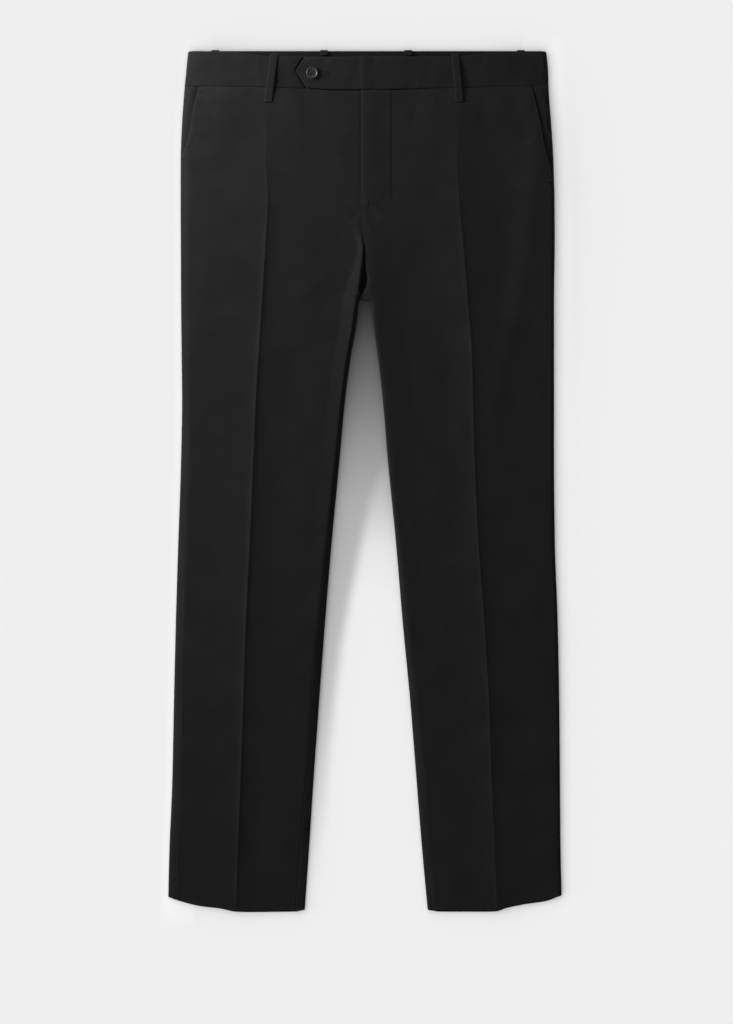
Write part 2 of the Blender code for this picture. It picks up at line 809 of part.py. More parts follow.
def fly_facing_grid(front_inner, depth):
    """The facing under the left front, from its fly edge out to the J-shaped stitching."""
    grid = []
    for row, y in zip(front_inner, LEFT_HIP_ROWS):
        start = FLY_EDGE_X + FLY_FACING_INSET
        width = at(FLY_FACING, "edge", y) - start
        x = start + np.array(FLY_FACING_COLUMNS) * width
        true_y = np.interp(x, row[:, 0], row[:, 1])
        height = np.interp(x, row[:, 0], row[:, 2]) - FACING_GAP - depth
        grid.append(np.stack([x, true_y, height], axis=1))
    return np.array(grid)


def band_height(side, y, u):
    """The height of the waistband's outer face. The left half lies over the right at the middle."""
    outer = at(side["outline"], "outer", y)
    knots = side["band"]
    return curve([*knots["u"], outer], [*knots["height"], 2.0 * BAND_RADIUS], u)


def tab_end_x(share):
    return float(np.interp(share, TAB_END["share"], TAB_END["x"]))


def top_edge_y(u):
    """The front's top edge dips in the middle, so the back's inside shows over it."""
    share = fade_between(np.abs(u), *TOP_EDGE_DIP_U)
    return TOP_EDGE_FRONT_Y + (TOP_EDGE_SIDE_Y - TOP_EDGE_FRONT_Y) * share


def band_edges(side, u, turned):
    """The lower and upper edges' y of the waistband, turned from 0 on the front to 1 on the back."""
    lower = waist_seam_y(u)
    upper = top_edge_y(u)
    if side["sign"] > 0:
        on_tab = u < FLY_EDGE_X
        lower = np.where(on_tab, np.interp(u, TAB_EDGES["x"], TAB_EDGES["lower"]), lower)
        upper = np.where(on_tab, np.interp(u, TAB_EDGES["x"], TAB_EDGES["upper"]), upper)
    lower = lower + turned * (WAIST_SEAM_SIDE_Y - lower)
    upper = upper + turned * (TOP_EDGE_BACK_Y - upper)
    return lower + GAP / 2.0, upper


def band_columns(start, shown, section):
    """Distances along the waistband's loop: from its start over the front, round and under."""
    quarter = np.pi / 2.0 * BAND_RADIUS
    front = [section.distance_at(u) for u in (*start, *shown)]
    edge = section.over + quarter * np.array(BAND_ROUND)
    back = np.linspace(edge[-1], section.around, BAND_BACK_COLUMNS + 1)[1:]
    return np.concatenate([front, edge, back])


def band_grid(side, depth):
    grid = []
    for share in np.linspace(0.0, 1.0, BAND_ROWS):
        y = WAIST_SEAM_SIDE_Y + share * (TOP_EDGE_BACK_Y - WAIST_SEAM_SIDE_Y)
        outer = (at(side["outline"], "outer", y), BAND_RADIUS, BAND_RADIUS)
        start = (-BAND_UNDERLAP_X,)
        if side["sign"] > 0:
            start = (tab_end_x(share), tab_end_x(share) + TAB_END_COLUMN)
        end = side["sign"] * BACK_SEAM_X + GAP / 2.0
        points, over = loop(
            lambda u: band_height(side, y, u), start[0], None, outer, end, floor_height(y)
        )
        section = Section(points, over, closed=False)
        columns = band_columns(start, side["band_columns"], section)
        place = section.point(columns, depth)
        face = section.point(columns)
        turned = smooth((columns - section.over) / (2.0 * BAND_RADIUS))
        lower, upper = band_edges(side, face[:, 0], turned)
        true_y = lower + share * (upper - lower)
        grid.append(np.stack([side["sign"] * place[:, 0], true_y, place[:, 1]], axis=1))
    return np.array(grid)


def height_on(grids, x, y):
    """The highest point of these grids at (x, y)."""
    best = 0.0
    for grid in grids:
        a, b, c, d = grid[:-1, :-1], grid[:-1, 1:], grid[1:, 1:], grid[1:, :-1]
        for corners in ((a, b, c), (a, c, d)):
            p, q, r = [corner.reshape(-1, 3) for corner in corners]
            area = (q[:, 0] - p[:, 0]) * (r[:, 1] - p[:, 1]) - (r[:, 0] - p[:, 0]) * (q[:, 1] - p[:, 1])
            area = np.where(np.abs(area) < 1e-9, np.inf, area)
            v = ((x - p[:, 0]) * (r[:, 1] - p[:, 1]) - (r[:, 0] - p[:, 0]) * (y - p[:, 1])) / area
            w = ((q[:, 0] - p[:, 0]) * (y - p[:, 1]) - (x - p[:, 0]) * (q[:, 1] - p[:, 1])) / area
            inside = (v >= 0.0) & (w >= 0.0) & (v + w <= 1.0) & np.isfinite(area)
            z = p[:, 2] + v * (q[:, 2] - p[:, 2]) + w * (r[:, 2] - p[:, 2])
            if inside.any():
                best = max(best, float(z[inside].max()))
    return best


def draw_strip(bm, path, x_at):
    """A belt loop's strip of cloth, along a path of (y, z) points through its middle."""
    path = np.array(path)
    along = np.gradient(path, axis=0)
    along /= np.linalg.norm(along, axis=1)[:, None]
    away = np.stack([-along[:, 1], along[:, 0]], axis=1)
    across = np.array([-0.5, 0.0, 0.5]) * LOOP_WIDTH
    faces = []
    for depth in (LOOP_WALL / 2.0, -LOOP_WALL / 2.0):
        rows = []
        for (y, _), (face_y, face_z) in zip(path, path + depth * away):
            rows.append([(x_at(y) + dx, face_y, face_z) for dx in across])
        faces.append(np.array(rows))
    draw_sheet(bm, *faces)


def hook(edge_y, inside_z, outside_z):
    """The path of a belt loop's end: over an edge of cloth from its inside to its outside."""
    clear = GAP + LOOP_WALL / 2.0
    middle = (inside_z + outside_z) / 2.0
    tall = (outside_z - inside_z) / 2.0 + np.copysign(clear, outside_z - inside_z)
    turn = np.radians(LOOP_BEND_TURN)
    bend = [(edge_y + LOOP_BEND * np.cos(a), middle + tall * np.sin(a)) for a in turn]
    return [(edge_y - LOOP_HOOK, bend[0][1])] + bend


def slanted(top_x, end_x):
    """A front belt loop's x at any y."""

    def x_at(y):
        return end_x + (top_x - end_x) * (y - LOOP_END_Y) / (TOP_EDGE_FRONT_Y - LOOP_END_Y)

    return x_at


def front_loop_path(grids, x_at):
    """From inside the top edge, over it, down the band with room for a belt, on to the front."""
    edge_y = float(top_edge_y(abs(x_at(TOP_EDGE_FRONT_Y)) + LOOP_WIDTH))
    inside_y = edge_y - BAND_TOP_INSIDE
    band_top = height_on(grids, x_at(inside_y), inside_y)
    path = hook(edge_y, band_top - BAND_WALL, band_top)
    reach = FRONT_LOOP_ROWS[0] - FRONT_LOOP_ROWS[-1]
    for y in FRONT_LOOP_ROWS:
        sides = [height_on(grids, x_at(y) + dx, y) for dx in (-LOOP_WIDTH / 2.0, 0.0, LOOP_WIDTH / 2.0)]
        arch = LOOP_ARCH * np.sin(np.pi * (FRONT_LOOP_ROWS[0] - y) / reach) ** 2
        path.append((y, max(sides) + GAP + LOOP_WALL / 2.0 + arch))
    return path


def back_loop_path():
    """Flat under the waist, then up and over the back's top edge."""
    path = hook(TOP_EDGE_BACK_Y, LOOP_LIFT + BAND_WALL, LOOP_LIFT)
    return path + [(y, LOOP_WALL / 2.0) for y in BACK_LOOP_ROWS]


def draw_button(bm):
    """A turned disc with a raised rim, standing on z = 0 at the origin."""
    verts = [bm.verts.new((r, 0.0, z)) for r, z in BUTTON_PROFILE]
    edges = [bm.edges.new(pair) for pair in zip(verts, verts[1:])]
    bmesh.ops.spin(
        bm,
        geom=verts + edges,
        cent=(0.0, 0.0, 0.0),
        axis=(0.0, 0.0, 1.0),
        angle=2.0 * np.pi,
        steps=BUTTON_STEPS,
        use_merge=True,
    )
    bmesh.ops.remove_doubles(bm, verts=bm.verts, dist=BUTTON_WELD)


def draw_button_holes(bm):
    for x in (-BUTTON_HOLE_AT, BUTTON_HOLE_AT):
        for y in (-BUTTON_HOLE_AT, BUTTON_HOLE_AT):
            bmesh.ops.create_cone(
                bm,
                cap_ends=True,
                segments=BUTTON_HOLE_SEGMENTS,
                radius1=BUTTON_HOLE_RADIUS,
                radius2=BUTTON_HOLE_RADIUS,
                depth=3.0 * BUTTON_PROFILE[-1][1],
                matrix=Matrix.Translation((x, y, 0.5 * BUTTON_PROFILE[-1][1])),
            )


def add_button(parent, height):
    """The button, with its holes cut by a hidden helper."""
    place = Matrix.Translation((BUTTON_X, BUTTON_Y, height))

    def placed(draw):
        def build(bm):
            draw(bm)
            bmesh.ops.transform(bm, matrix=place, verts=bm.verts)

        return build

    button = add_object("button", placed(draw_button), parent, BUTTON_COLOUR, BUTTON_ROUGHNESS)
    holes = add_object("button_holes", placed(draw_button_holes), parent)
    holes.hide_render = True
    holes.display_type = "WIRE"
    cut = button.modifiers.new("Holes", "BOOLEAN")
    cut.operation = "DIFFERENCE"
    cut.object = holes


def add_sheet(name, walls, parent):
    """A cloth piece from its outer and inner grids."""
    add_object(name, lambda bm: draw_sheet(bm, *walls), parent)


def add_side(name, side, parent):
    """One leg's panels, its pocket facing and its half of the waistband.

    The outer faces of the front and the waistband come back, and the front's inner face.
    """
    front = panel_walls(side, front_columns)
    facing = [pocket_facing_grid(side, front[1], depth) for depth in (0.0, FACING_WALL)]
    band = [band_grid(side, depth) for depth in (0.0, BAND_WALL)]
    add_sheet("front_" + name, front, parent)
    add_sheet("back_" + name, panel_walls(side, back_columns, back=True), parent)
    add_sheet("pocket_facing_" + name, facing, parent)
    add_sheet("waistband_" + name, band, parent)
    return [front[0], band[0]], front[1]


def main():
    for item in list(bpy.data.objects):
        bpy.data.objects.remove(item)
    parent = bpy.data.objects.new("trousers", None)
    bpy.context.scene.collection.objects.link(parent)

    shown_right, _ = add_side("right", SIDES["right"], parent)
    shown_left, left_inner = add_side("left", SIDES["left"], parent)
    facing = [fly_facing_grid(left_inner, depth) for depth in (0.0, FLY_FACING_WALL)]
    add_sheet("fly_facing", facing, parent)

    shown = shown_right + shown_left
    for name, ends in FRONT_LOOPS.items():
        x_at = slanted(*ends)
        path = front_loop_path(shown, x_at)
        add_object(name, lambda bm: draw_strip(bm, path, x_at), parent)
    for name, x in BACK_LOOPS.items():
        path = back_loop_path()
        add_object(name, lambda bm: draw_strip(bm, path, lambda y: x), parent)
    add_button(parent, height_on(shown, BUTTON_X, BUTTON_Y) + GAP)


main()
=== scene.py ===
"""Black flat-front trousers laid flat, front up: the cloth, the sewing and the button.

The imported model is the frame. Each piece of cloth is a thin shell on its solid's form. The legs
are worked out from sections, one for each row of a panel: over the front, round the outer edge,
along the floor and round the inner edge. A panel is a stretch of that loop between two seams.

Lengths are in millimetres until a mesh is made. +X is the wearer's left, +Y runs from the hems to
the waist and +Z is up. "u" is the distance outward from the middle, so x = sign * u on each side.
"""

import bpy
import numpy as np
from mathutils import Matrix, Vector
from mathutils.bvhtree import BVHTree


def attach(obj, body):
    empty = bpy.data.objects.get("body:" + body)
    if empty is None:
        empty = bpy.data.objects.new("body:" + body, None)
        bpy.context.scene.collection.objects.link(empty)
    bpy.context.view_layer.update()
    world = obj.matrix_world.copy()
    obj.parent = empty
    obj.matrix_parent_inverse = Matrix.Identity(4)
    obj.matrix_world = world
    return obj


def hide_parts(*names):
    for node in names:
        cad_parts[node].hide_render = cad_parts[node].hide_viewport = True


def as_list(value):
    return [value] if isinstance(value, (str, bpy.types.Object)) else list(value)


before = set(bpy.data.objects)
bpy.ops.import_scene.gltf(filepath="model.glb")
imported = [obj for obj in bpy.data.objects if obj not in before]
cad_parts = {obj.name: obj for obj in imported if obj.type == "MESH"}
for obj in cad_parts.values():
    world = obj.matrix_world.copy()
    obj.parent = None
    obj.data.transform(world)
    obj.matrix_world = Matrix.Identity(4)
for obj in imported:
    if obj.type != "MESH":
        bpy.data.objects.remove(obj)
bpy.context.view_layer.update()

MM = 0.001

# Cloth
WALL = 1.0
HEM_WALL = 1.7
HEM_WALL_FADE = 2.0
FACING_WALL = 0.8
BAND_WALL = 1.9
LOOP_WALL = 1.1
FACING_GAP = 0.25
SEAM_DIP = 0.35
SEAM_DIP_WIDTH = 0.8
SEAM_GAP = 0.06
# A pressed edge that lies on other cloth is this many times less round than a sewn one.
CRISP = 4.0
MIDDLE_EDGE_FADE = (285.0, 300.0)

# Heights along the body
CROTCH_Y = 230.0
WAIST_SEAM_SIDE_Y = 491.3
WAIST_SEAM_FRONT_Y = 488.0
WAIST_Y = 490.0
WAIST_TUCK = 2.5
TOP_EDGE_BACK_Y = 535.9
TOP_EDGE_SIDE_Y = 535.2
TOP_EDGE_FRONT_Y = 528.8
TOP_EDGE_DIP_U = (106.0, 186.0)
HEM_Y = -537.0
HEM_TURN = 38.0
FLY_END_Y = 352.0

# The middle
FLY_EDGE_X = -5.0
UNDERLAP_X = 6.0
BAND_UNDERLAP_X = 34.0
BACK_SEAM_X = -2.0
FLY_RISE = 1.7
FLY_FALL = 0.72
FLY_EDGE_ROLL = 0.4
FLY_EDGE_ROLL_WIDTH = 4.6
FLY_STITCH_X = 32.5
FLY_STITCH_BEND_Y = 385.0
FLY_STITCH_END = (0.0, 341.0)
# Grooves beside the fly's edge, along the seam below the fly, and along the stitching.
FLY_GROOVE = 0.5
FLY_GROOVE_HALF = 0.8
SEAM_GROOVE = 0.1
SEAM_GROOVE_HALF = 1.6
SEAM_GROOVE_START_Y = (286.0, 304.0)
STITCH_GROOVE = 0.22
STITCH_GROOVE_HALF = 1.1
STITCH_GROOVE_REACH = 5.0
# How fast each front rises out of the middle: by distance, as shares of its roll's height.
VALLEY_RISE = ((0.1, 0.1), (0.5, 0.8), (1.1, 0.98))
# Where the fly's forms pass into the plain seam, as distances from the fly's lower end.
FLY_GROOVE_END = (-4.0, 6.0)
SEAM_GROOVE_END = (-4.0, 8.0)
FLY_RISE_END = (-12.0, 4.0)
FLY_STEP_END = (-8.0, 0.0)
UNDERLAP_END = (0.0, 10.0)
# Where the fly's rise ends, as distances from its stitching.
FLY_STEP = (-1.5, 2.0)

# Edges: how round the folded sides are
BAND_RADIUS = 3.0
EDGE_POINTS = 9

# The pressed crest: a sharp one on a broad one, as shares of its height and how wide each is
CREST_SHARP_WIDTH = 3.2
CREST_BROAD = (0.8, 13.0)
CREST_ROUND = 0.25

# The belt loops under the back lift the waist off the surface by this much
LOOP_LIFT = 1.5
LOOP_LIFT_START_Y = 395.0
LOOP_LIFT_FULL_Y = 475.0

# Pockets: the front lies on the facing
POCKET_SINK_WIDTH = 5.0
POCKET_FADE = (72.0, 34.0)
POCKET_CLOSES_OVER = 26.0
# The waist seam holds the front down on the facing.
POCKET_SEWN = 0.8
POCKET_SEWN_Y = (474.0, 489.0)

# Edges and pressed crests are worn a little smoother and lighter over this width.
WORN_WIDTH = 1.6
CREST_WORN = 0.4

# Belt loops
LOOP_WIDTH = 9.6
LOOP_HOOK = 5.0
LOOP_BEND = 1.9
BACK_LOOP_BEND = 0.8
LOOP_ARCH = 2.0
LOOP_END_Y = 471.5
LOOP_START_Y = 525.0
FRONT_LOOPS = {
    "belt_loop_front_right": (-113.8, -121.2),
    "belt_loop_front_left": (112.8, 118.2),
}
BACK_LOOPS = {
    "belt_loop_side_right": -186.8,
    "belt_loop_back_right": -51.3,
    "belt_loop_back_left": 53.8,
    "belt_loop_side_left": 195.0,
}


def table(columns, *rows):
    """A table with named columns, in rising order of its first one."""
    values = np.array(sorted(rows), float)
    return dict(zip(columns.split(), values.T))


# The outline and the pressed crease of each leg, as distances from the middle.
RIGHT_OUTLINE = table(
    "y outer crease",
    (536, 221, 123), (512.5, 223.3, 123.3), (490, 225.4, 123.5), (450, 228.5, 123.8),
    (400, 230.5, 123.8), (350, 230.6, 121.3), (300, 230.4, 123.9), (225, 230.1, 128.4),
    (150, 229.3, 133.4), (100, 228.8, 136.3), (25, 230.1, 139.5), (-75, 233.4, 143.8),
    (-175, 236.5, 148.6), (-275, 238.9, 152), (-375, 241, 155.4), (-462.5, 244.4, 158.8),
    (-537.5, 246, 161.2),
)
LEFT_OUTLINE = table(
    "y outer crease",
    (536, 226.5, 115), (512.5, 228.8, 115), (490, 229.4, 115), (450, 232.4, 115),
    (400, 235.6, 115), (350, 237, 117.3), (300, 237.3, 121.7), (225, 236.4, 128),
    (150, 236.4, 133.4), (100, 236.4, 134.5), (25, 236.4, 136.5), (-75, 237.4, 141.3),
    (-175, 240.9, 148.5), (-275, 242.9, 154.6), (-375, 243.8, 157.9), (-462.5, 244.5, 162.1),
    (-537.5, 245.8, 165),
)
RIGHT_INSEAM = table(
    "y inner",
    (230, 6.7), (224, 7.4), (200, 9.8), (150, 18.3), (100, 24.8), (25, 31.8), (-75, 41.3),
    (-175, 49.6), (-275, 57.1), (-375, 64.3), (-462.5, 70.1), (-537.5, 75.4),
)
LEFT_INSEAM = table(
    "y inner",
    (230, -6.6), (225.6, -7.2), (225.1, -4.6), (224.7, -1), (224.2, 2.8), (223.2, 5.6),
    (221, 7.4), (200, 9.5), (150, 16.3), (100, 22.1), (25, 28.4), (-75, 38.3), (-175, 46.8),
    (-275, 56.3), (-375, 64.4), (-462.5, 71.5), (-537.5, 78.4),
)
# How far inside the outline each seam shows on the top face, along the cloth.
RIGHT_SEAMS = table(
    "y outer inner",
    (536, 0, 0), (-60, 0, 0), (-150, 10, 0), (-290, 10.5, 0), (-390, 10.5, 12),
    (-538, 10.5, 13.5),
)
LEFT_SEAMS = table(
    "y outer inner",
    (536, 0, 0), (340, 0, 0), (300, 6.5, 0), (100, 6.5, 0), (40, 0, 0), (-370, 0, 0),
    (-470, 0, 7.5), (-538, 0, 7.5),
)
# The front's height at half way to the outer edge and at the crease. "ridge" is the pressed
# crest on top.
LOFT = table(
    "y outer crest ridge",
    (536, 7.6, 7.8, 0), (490, 7.9, 8, 0), (450, 9.2, 9.8, 0.1), (400, 10.2, 11.2, 0.5),
    (350, 10.6, 12, 1.1), (309, 10.8, 12.2, 1.5), (270, 10.8, 12.2, 1.7), (234, 10.6, 12, 1.8),
    (200, 10.4, 11.8, 1.8), (150, 10, 11.4, 1.8), (100, 9.6, 11, 1.8), (25, 9.2, 10.4, 1.8),
    (-75, 8.8, 9.9, 1.8), (-175, 8.5, 9.5, 1.8), (-375, 8, 8.8, 1.6), (-500, 7.2, 7.7, 1.1),
    (-538, 6.2, 6.4, 0.7),
)
# The roll of each inner thigh: where its crest is, how high, how far its outer slope reaches,
# and the front's height beyond it.
RIGHT_ROLL = table(
    "y u height skirt middle",
    (490, 75.8, 6.2, 20, 7.4), (450, 67.8, 8.2, 22, 9.2), (400, 53.8, 10.2, 24, 10.6),
    (350, 30, 11.6, 26, 11.6), (309, 6.8, 13, 8, 12), (300, 5.4, 13.6, 6.5, 12),
    (290, 3.2, 14.3, 7.5, 12), (270, 4.6, 15.3, 10.5, 11.9), (252, 6.8, 15.8, 14, 11.9),
    (243, 8.2, 15.9, 16, 11.9), (236, 8.8, 15.9, 17.5, 11.9), (230, 10.4, 15.8, 18.5, 11.9),
    (200, 14, 15.2, 19, 11.5), (150, 22.8, 13.8, 19, 10.8), (100, 30.2, 12.2, 18, 10.1),
    (25, 38.6, 10.6, 18, 9.4), (-75, 50.3, 9.2, 18, 8.8), (-175, 61.6, 8.6, 18, 8.4),
    (-375, 78.3, 7.6, 18, 7.8), (-500, 88, 6.6, 18, 7), (-538, 90.4, 5.8, 18, 6.1),
)
LEFT_ROLL = table(
    "y u height skirt middle",
    (490, 68.2, 6.2, 20, 7.4), (450, 60.2, 8.2, 20, 9.2), (400, 51.2, 10.2, 20, 10.6),
    (350, 32.2, 11.5, 20, 11.4), (309, 8.2, 12.6, 26, 11.5), (290, 3.2, 12.9, 34, 11.2),
    (270, 2.8, 13.2, 36, 10.8), (252, 4.6, 13.4, 38, 10.5), (243, 5.4, 13.5, 38, 10.4),
    (236, 6, 13.5, 38, 10.4), (230, 8.2, 13.5, 38, 10.4), (223.4, 11.2, 13.6, 38, 10.3),
    (200, 13.8, 13.5, 38, 10.1), (150, 20.6, 12.7, 38, 9.6), (100, 26.6, 11.7, 36, 9.2),
    (25, 33.4, 10.3, 34, 9), (-75, 44.3, 9.2, 26, 8.7), (-175, 54.8, 8.4, 22, 8.3),
    (-375, 76.4, 7.4, 20, 7.7), (-500, 87, 6.5, 20, 7), (-538, 93.4, 5.8, 20, 6.1),
)
ROLL_SHAPE = ((0.12, 0.9), (0.5, 0.46), (1.0, 0.06))
# The shoulder of each outer edge: how far inside it lies, its height, and the edge's thickness.
RIGHT_SHOULDER = table(
    "y inside height edge",
    (536, 12, 7.2, 5.2), (450, 12, 8.6, 5.2), (350, 12, 9.5, 5.2), (100, 12, 9, 5),
    (-175, 11, 8, 4.8), (-500, 10, 6.8, 4.6), (-538, 9, 5.9, 4.6),
)
LEFT_SHOULDER = table(
    "y inside height edge",
    (536, 7, 7.9, 5.6), (490, 3.4, 8.6, 6.4), (440, 3.4, 11.4, 7), (380, 3.6, 13, 7.4),
    (300, 3.5, 13, 7.4), (220, 3.6, 12, 7), (150, 3.8, 10.4, 6.6), (50, 4, 8.9, 6.4),
    (-175, 4.2, 7.8, 6), (-500, 4.4, 6.7, 5.6), (-538, 4.4, 6, 5.4),
)
# The front seam: left of the middle by the fly, and pulled under the right thigh at the crotch.
VALLEY = table(
    "y x",
    (352, -3.8), (309, -3.8), (290, -0.8), (270, -0.6), (252, -0.6), (243, -2), (236, -4),
    (230, -6),
)
# How far each front's edge stands back from the front seam between the thighs.
VALLEY_SIDES = table(
    "y right left",
    (300, 0, 0), (290, 0.5, 0.5), (270, 2, 0.9), (262, 3.2, 1.6), (252, 4.6, 3.2),
    (243, 4.6, 3.8), (236, 2.6, 2.4), (230, 0.7, -0.2),
)
# The front's height in the middle. It dives between the thighs towards the crotch.
CENTRE = table(
    "y height",
    (490, 6.2), (450, 8.2), (400, 10.2), (350, 11.55), (309, 12.8), (300, 13), (294, 12),
    (290, 10), (270, 4.6), (250, 3.4), (230, 3.2),
)
# The inner edges below the crotch: the radius, how far the front takes to round over it, and how
# much of the roll's height the front already has at the edge.
RIGHT_INNER_EDGE = table(
    "y radius reach fill",
    (230, 2.6, 4, 0), (200, 4, 6, 0), (150, 4.2, 6, 0), (100, 3.8, 5, 0), (25, 3.2, 4, 0),
    (-75, 2.9, 3.2, 0), (-175, 2.8, 2.8, 0), (-538, 2.5, 2.5, 0),
)
LEFT_INNER_EDGE = table(
    "y radius reach fill",
    (230, 2.4, 1.8, 0.92), (200, 2.8, 1.6, 0.94), (100, 2.8, 1.6, 0.94), (0, 2.6, 1.8, 0.85),
    (-100, 2.4, 2.2, 0.45), (-212, 2.3, 2.3, 0.1), (-300, 2.3, 2.3, 0), (-538, 2.3, 2.3, 0),
)
# The slanted pocket mouths, from the waist seam to where they meet the outline.
RIGHT_POCKET = table(
    "y mouth",
    (490, 207.5), (460.5, 214.5), (430, 219.4), (405, 228),
)
LEFT_POCKET = table(
    "y mouth",
    (490, 208.6), (447.8, 218.5), (413.3, 225.3), (390.3, 231.6), (370, 234.6),
)
# The height of each half of the waistband over its own back, across the front.
RIGHT_BAND = table(
    "u height",
    (-34, 6.2), (72, 6.2), (95, 7.5), (140, 7.8), (205, 7.6),
)
LEFT_BAND = table(
    "u height",
    (-95, 9.3), (-72, 8.5), (-7, 8.6), (-3, 9.1), (0, 9.1), (12, 8.5), (34, 8.2), (60, 7.8),
    (140, 7.8), (205, 7.7), (222, 7.5),
)
TAB_GROOVE = 1.5
TAB_GROOVE_HALF = 1.5
TAB_ROLL = 0.45
TAB_ROLL_WIDTH = 1.2
TAB_STITCH_GROOVE = 0.35
TAB_STITCH_AT = 4.0
TAB_STITCH_HALF = 0.9
# The pointed end of the tab, from its lower corner to its upper one, and its two long edges.
TAB_END = table(
    "share x",
    (0, -73.1), (0.57, -86.5), (1, -75.8),
)
TAB_EDGES = table(
    "x lower upper",
    (-86.5, 490, 526.3), (-73.1, 490, 526.5), (-60, 488.9, 528), (-40, 487.6, 528),
    (-6, 487.6, 528.2),
)
# A soft fold that runs down the outer left thigh.
LEFT_FOLD = table(
    "y middle height",
    (490, 200, 0), (475, 206, 0.5), (425, 216, 0.9), (325, 204, 1.1), (230, 192, 1.3),
    (187, 184, 1.4), (100, 166, 0.8), (50, 160, 0),
)
FOLD_HALF_WIDTH = 15.0
# The hem of each front, by distance from the middle.
RIGHT_HEM = table(
    "u y",
    (75.4, -537.5), (161, -538.2), (181.3, -534.4), (206.3, -531.4), (245.6, -521.3),
)
LEFT_HEM = table(
    "u y",
    (77.5, -537.5), (165, -537.8), (175, -534.4), (200, -529.1), (225, -525.4), (245.5, -519.4),
)
HEM_CURVE_START_Y = -410.0
WAIST_CURVE_START_Y = 463.0

SIDES = {
    "right": {
        "sign": -1,
        "outline": RIGHT_OUTLINE,
        "inseam": RIGHT_INSEAM,
        "seams": RIGHT_SEAMS,
        "roll": RIGHT_ROLL,
        "shoulder": RIGHT_SHOULDER,
        "pocket": RIGHT_POCKET,
        "hem": RIGHT_HEM,
        "band": RIGHT_BAND,
        "band_steps": (36, 220),
        "inner_edge": RIGHT_INNER_EDGE,
        "crest_sharp": 0.68,
        "outer_reach": 1.0,
        "pocket_rise": 1.7,
        "pocket_sink": 1.6,
    },
    "left": {
        "sign": 1,
        "outline": LEFT_OUTLINE,
        "inseam": LEFT_INSEAM,
        "seams": LEFT_SEAMS,
        "roll": LEFT_ROLL,
        "shoulder": LEFT_SHOULDER,
        "pocket": LEFT_POCKET,
        "hem": LEFT_HEM,
        "band": LEFT_BAND,
        "band_steps": (150, 120),
        "inner_edge": LEFT_INNER_EDGE,
        "crest_sharp": 0.42,
        "outer_reach": 0.5,
        "pocket_rise": 1.2,
        "pocket_sink": 0.4,
    },
}


def smooth(value):
    """0 up to 0, 1 from 1 on, and smooth between them."""
    value = np.clip(value, 0.0, 1.0)
    return value * value * (3.0 - 2.0 * value)


def fade_between(value, start, end):
    """0 up to start, 1 from end on, and smooth between them."""
    return smooth((value - start) / (end - start))


def hump(distance, half):
    """1 at no distance, and next to nothing from twice half on."""
    return np.exp(-((distance / half) ** 2))


def row(*coordinates):
    """Points side by side. A coordinate may be one number for all of them."""
    return np.stack(np.broadcast_arrays(*coordinates), axis=1)


def lengths_along(points):
    """The distance of each point of a path from its start, along the path."""
    steps = np.linalg.norm(np.diff(points, axis=0), axis=1)
    return np.concatenate([[0.0], np.cumsum(steps)])


def curve(xs, ys, x):
    """A smooth curve through the points that never overshoots them (monotone cubic)."""
    xs = np.asarray(xs, float)
    ys = np.asarray(ys, float)
    step = np.diff(xs)
    rise = np.diff(ys) / step
    slope = np.zeros(len(xs))
    same_way = rise[:-1] * rise[1:] > 0.0
    before = 2.0 * step[1:] + step[:-1]
    after = step[1:] + 2.0 * step[:-1]
    bottom = before / np.where(same_way, rise[:-1], 1.0)
    bottom = bottom + after / np.where(same_way, rise[1:], 1.0)
    slope[1:-1] = np.where(same_way, (before + after) / bottom, 0.0)
    slope[0] = rise[0]
    slope[-1] = rise[-1]
    x = np.clip(np.asarray(x, float), xs[0], xs[-1])
    i = np.clip(np.searchsorted(xs, x, side="right") - 1, 0, len(xs) - 2)
    t = (x - xs[i]) / step[i]
    start = (1.0 + 2.0 * t) * (1.0 - t) ** 2 * ys[i] + t * (1.0 - t) ** 2 * step[i] * slope[i]
    end = t * t * (3.0 - 2.0 * t) * ys[i + 1] + t * t * (t - 1.0) * step[i] * slope[i + 1]
    return start + end


def at(rows, name, y):
    """A table's column at this y, smooth from row to row."""
    return float(curve(rows["y"], rows[name], y))


class Waves:
    """A smooth uneven surface of unit size: sine waves of about one length, always the same."""

    def __init__(self, seed, length, stretch=1.0, count=14):
        random = np.random.default_rng(seed)
        angle = random.uniform(0.0, np.pi, count)
        size = length * random.uniform(0.7, 1.7, count)
        self.across = 2.0 * np.pi * np.cos(angle) / size
        self.along = 2.0 * np.pi * np.sin(angle) / (size * stretch)
        self.phase = random.uniform(0.0, 2.0 * np.pi, count)

    def at(self, x, y):
        x = np.asarray(x, float)[..., None]
        y = np.asarray(y, float)[..., None]
        waves = np.sin(x * self.across + y * self.along + self.phase)
        return waves.sum(axis=-1) / np.sqrt(0.5 * len(self.phase))


DRAPE = Waves(3, 62.0, 2.6)
RUMPLE = Waves(11, 21.0, 1.5)
DRAPE_HEIGHT = 0.16
DRAPE_FROM_EDGE = 12.0
RUMPLE_HEIGHT = 0.025

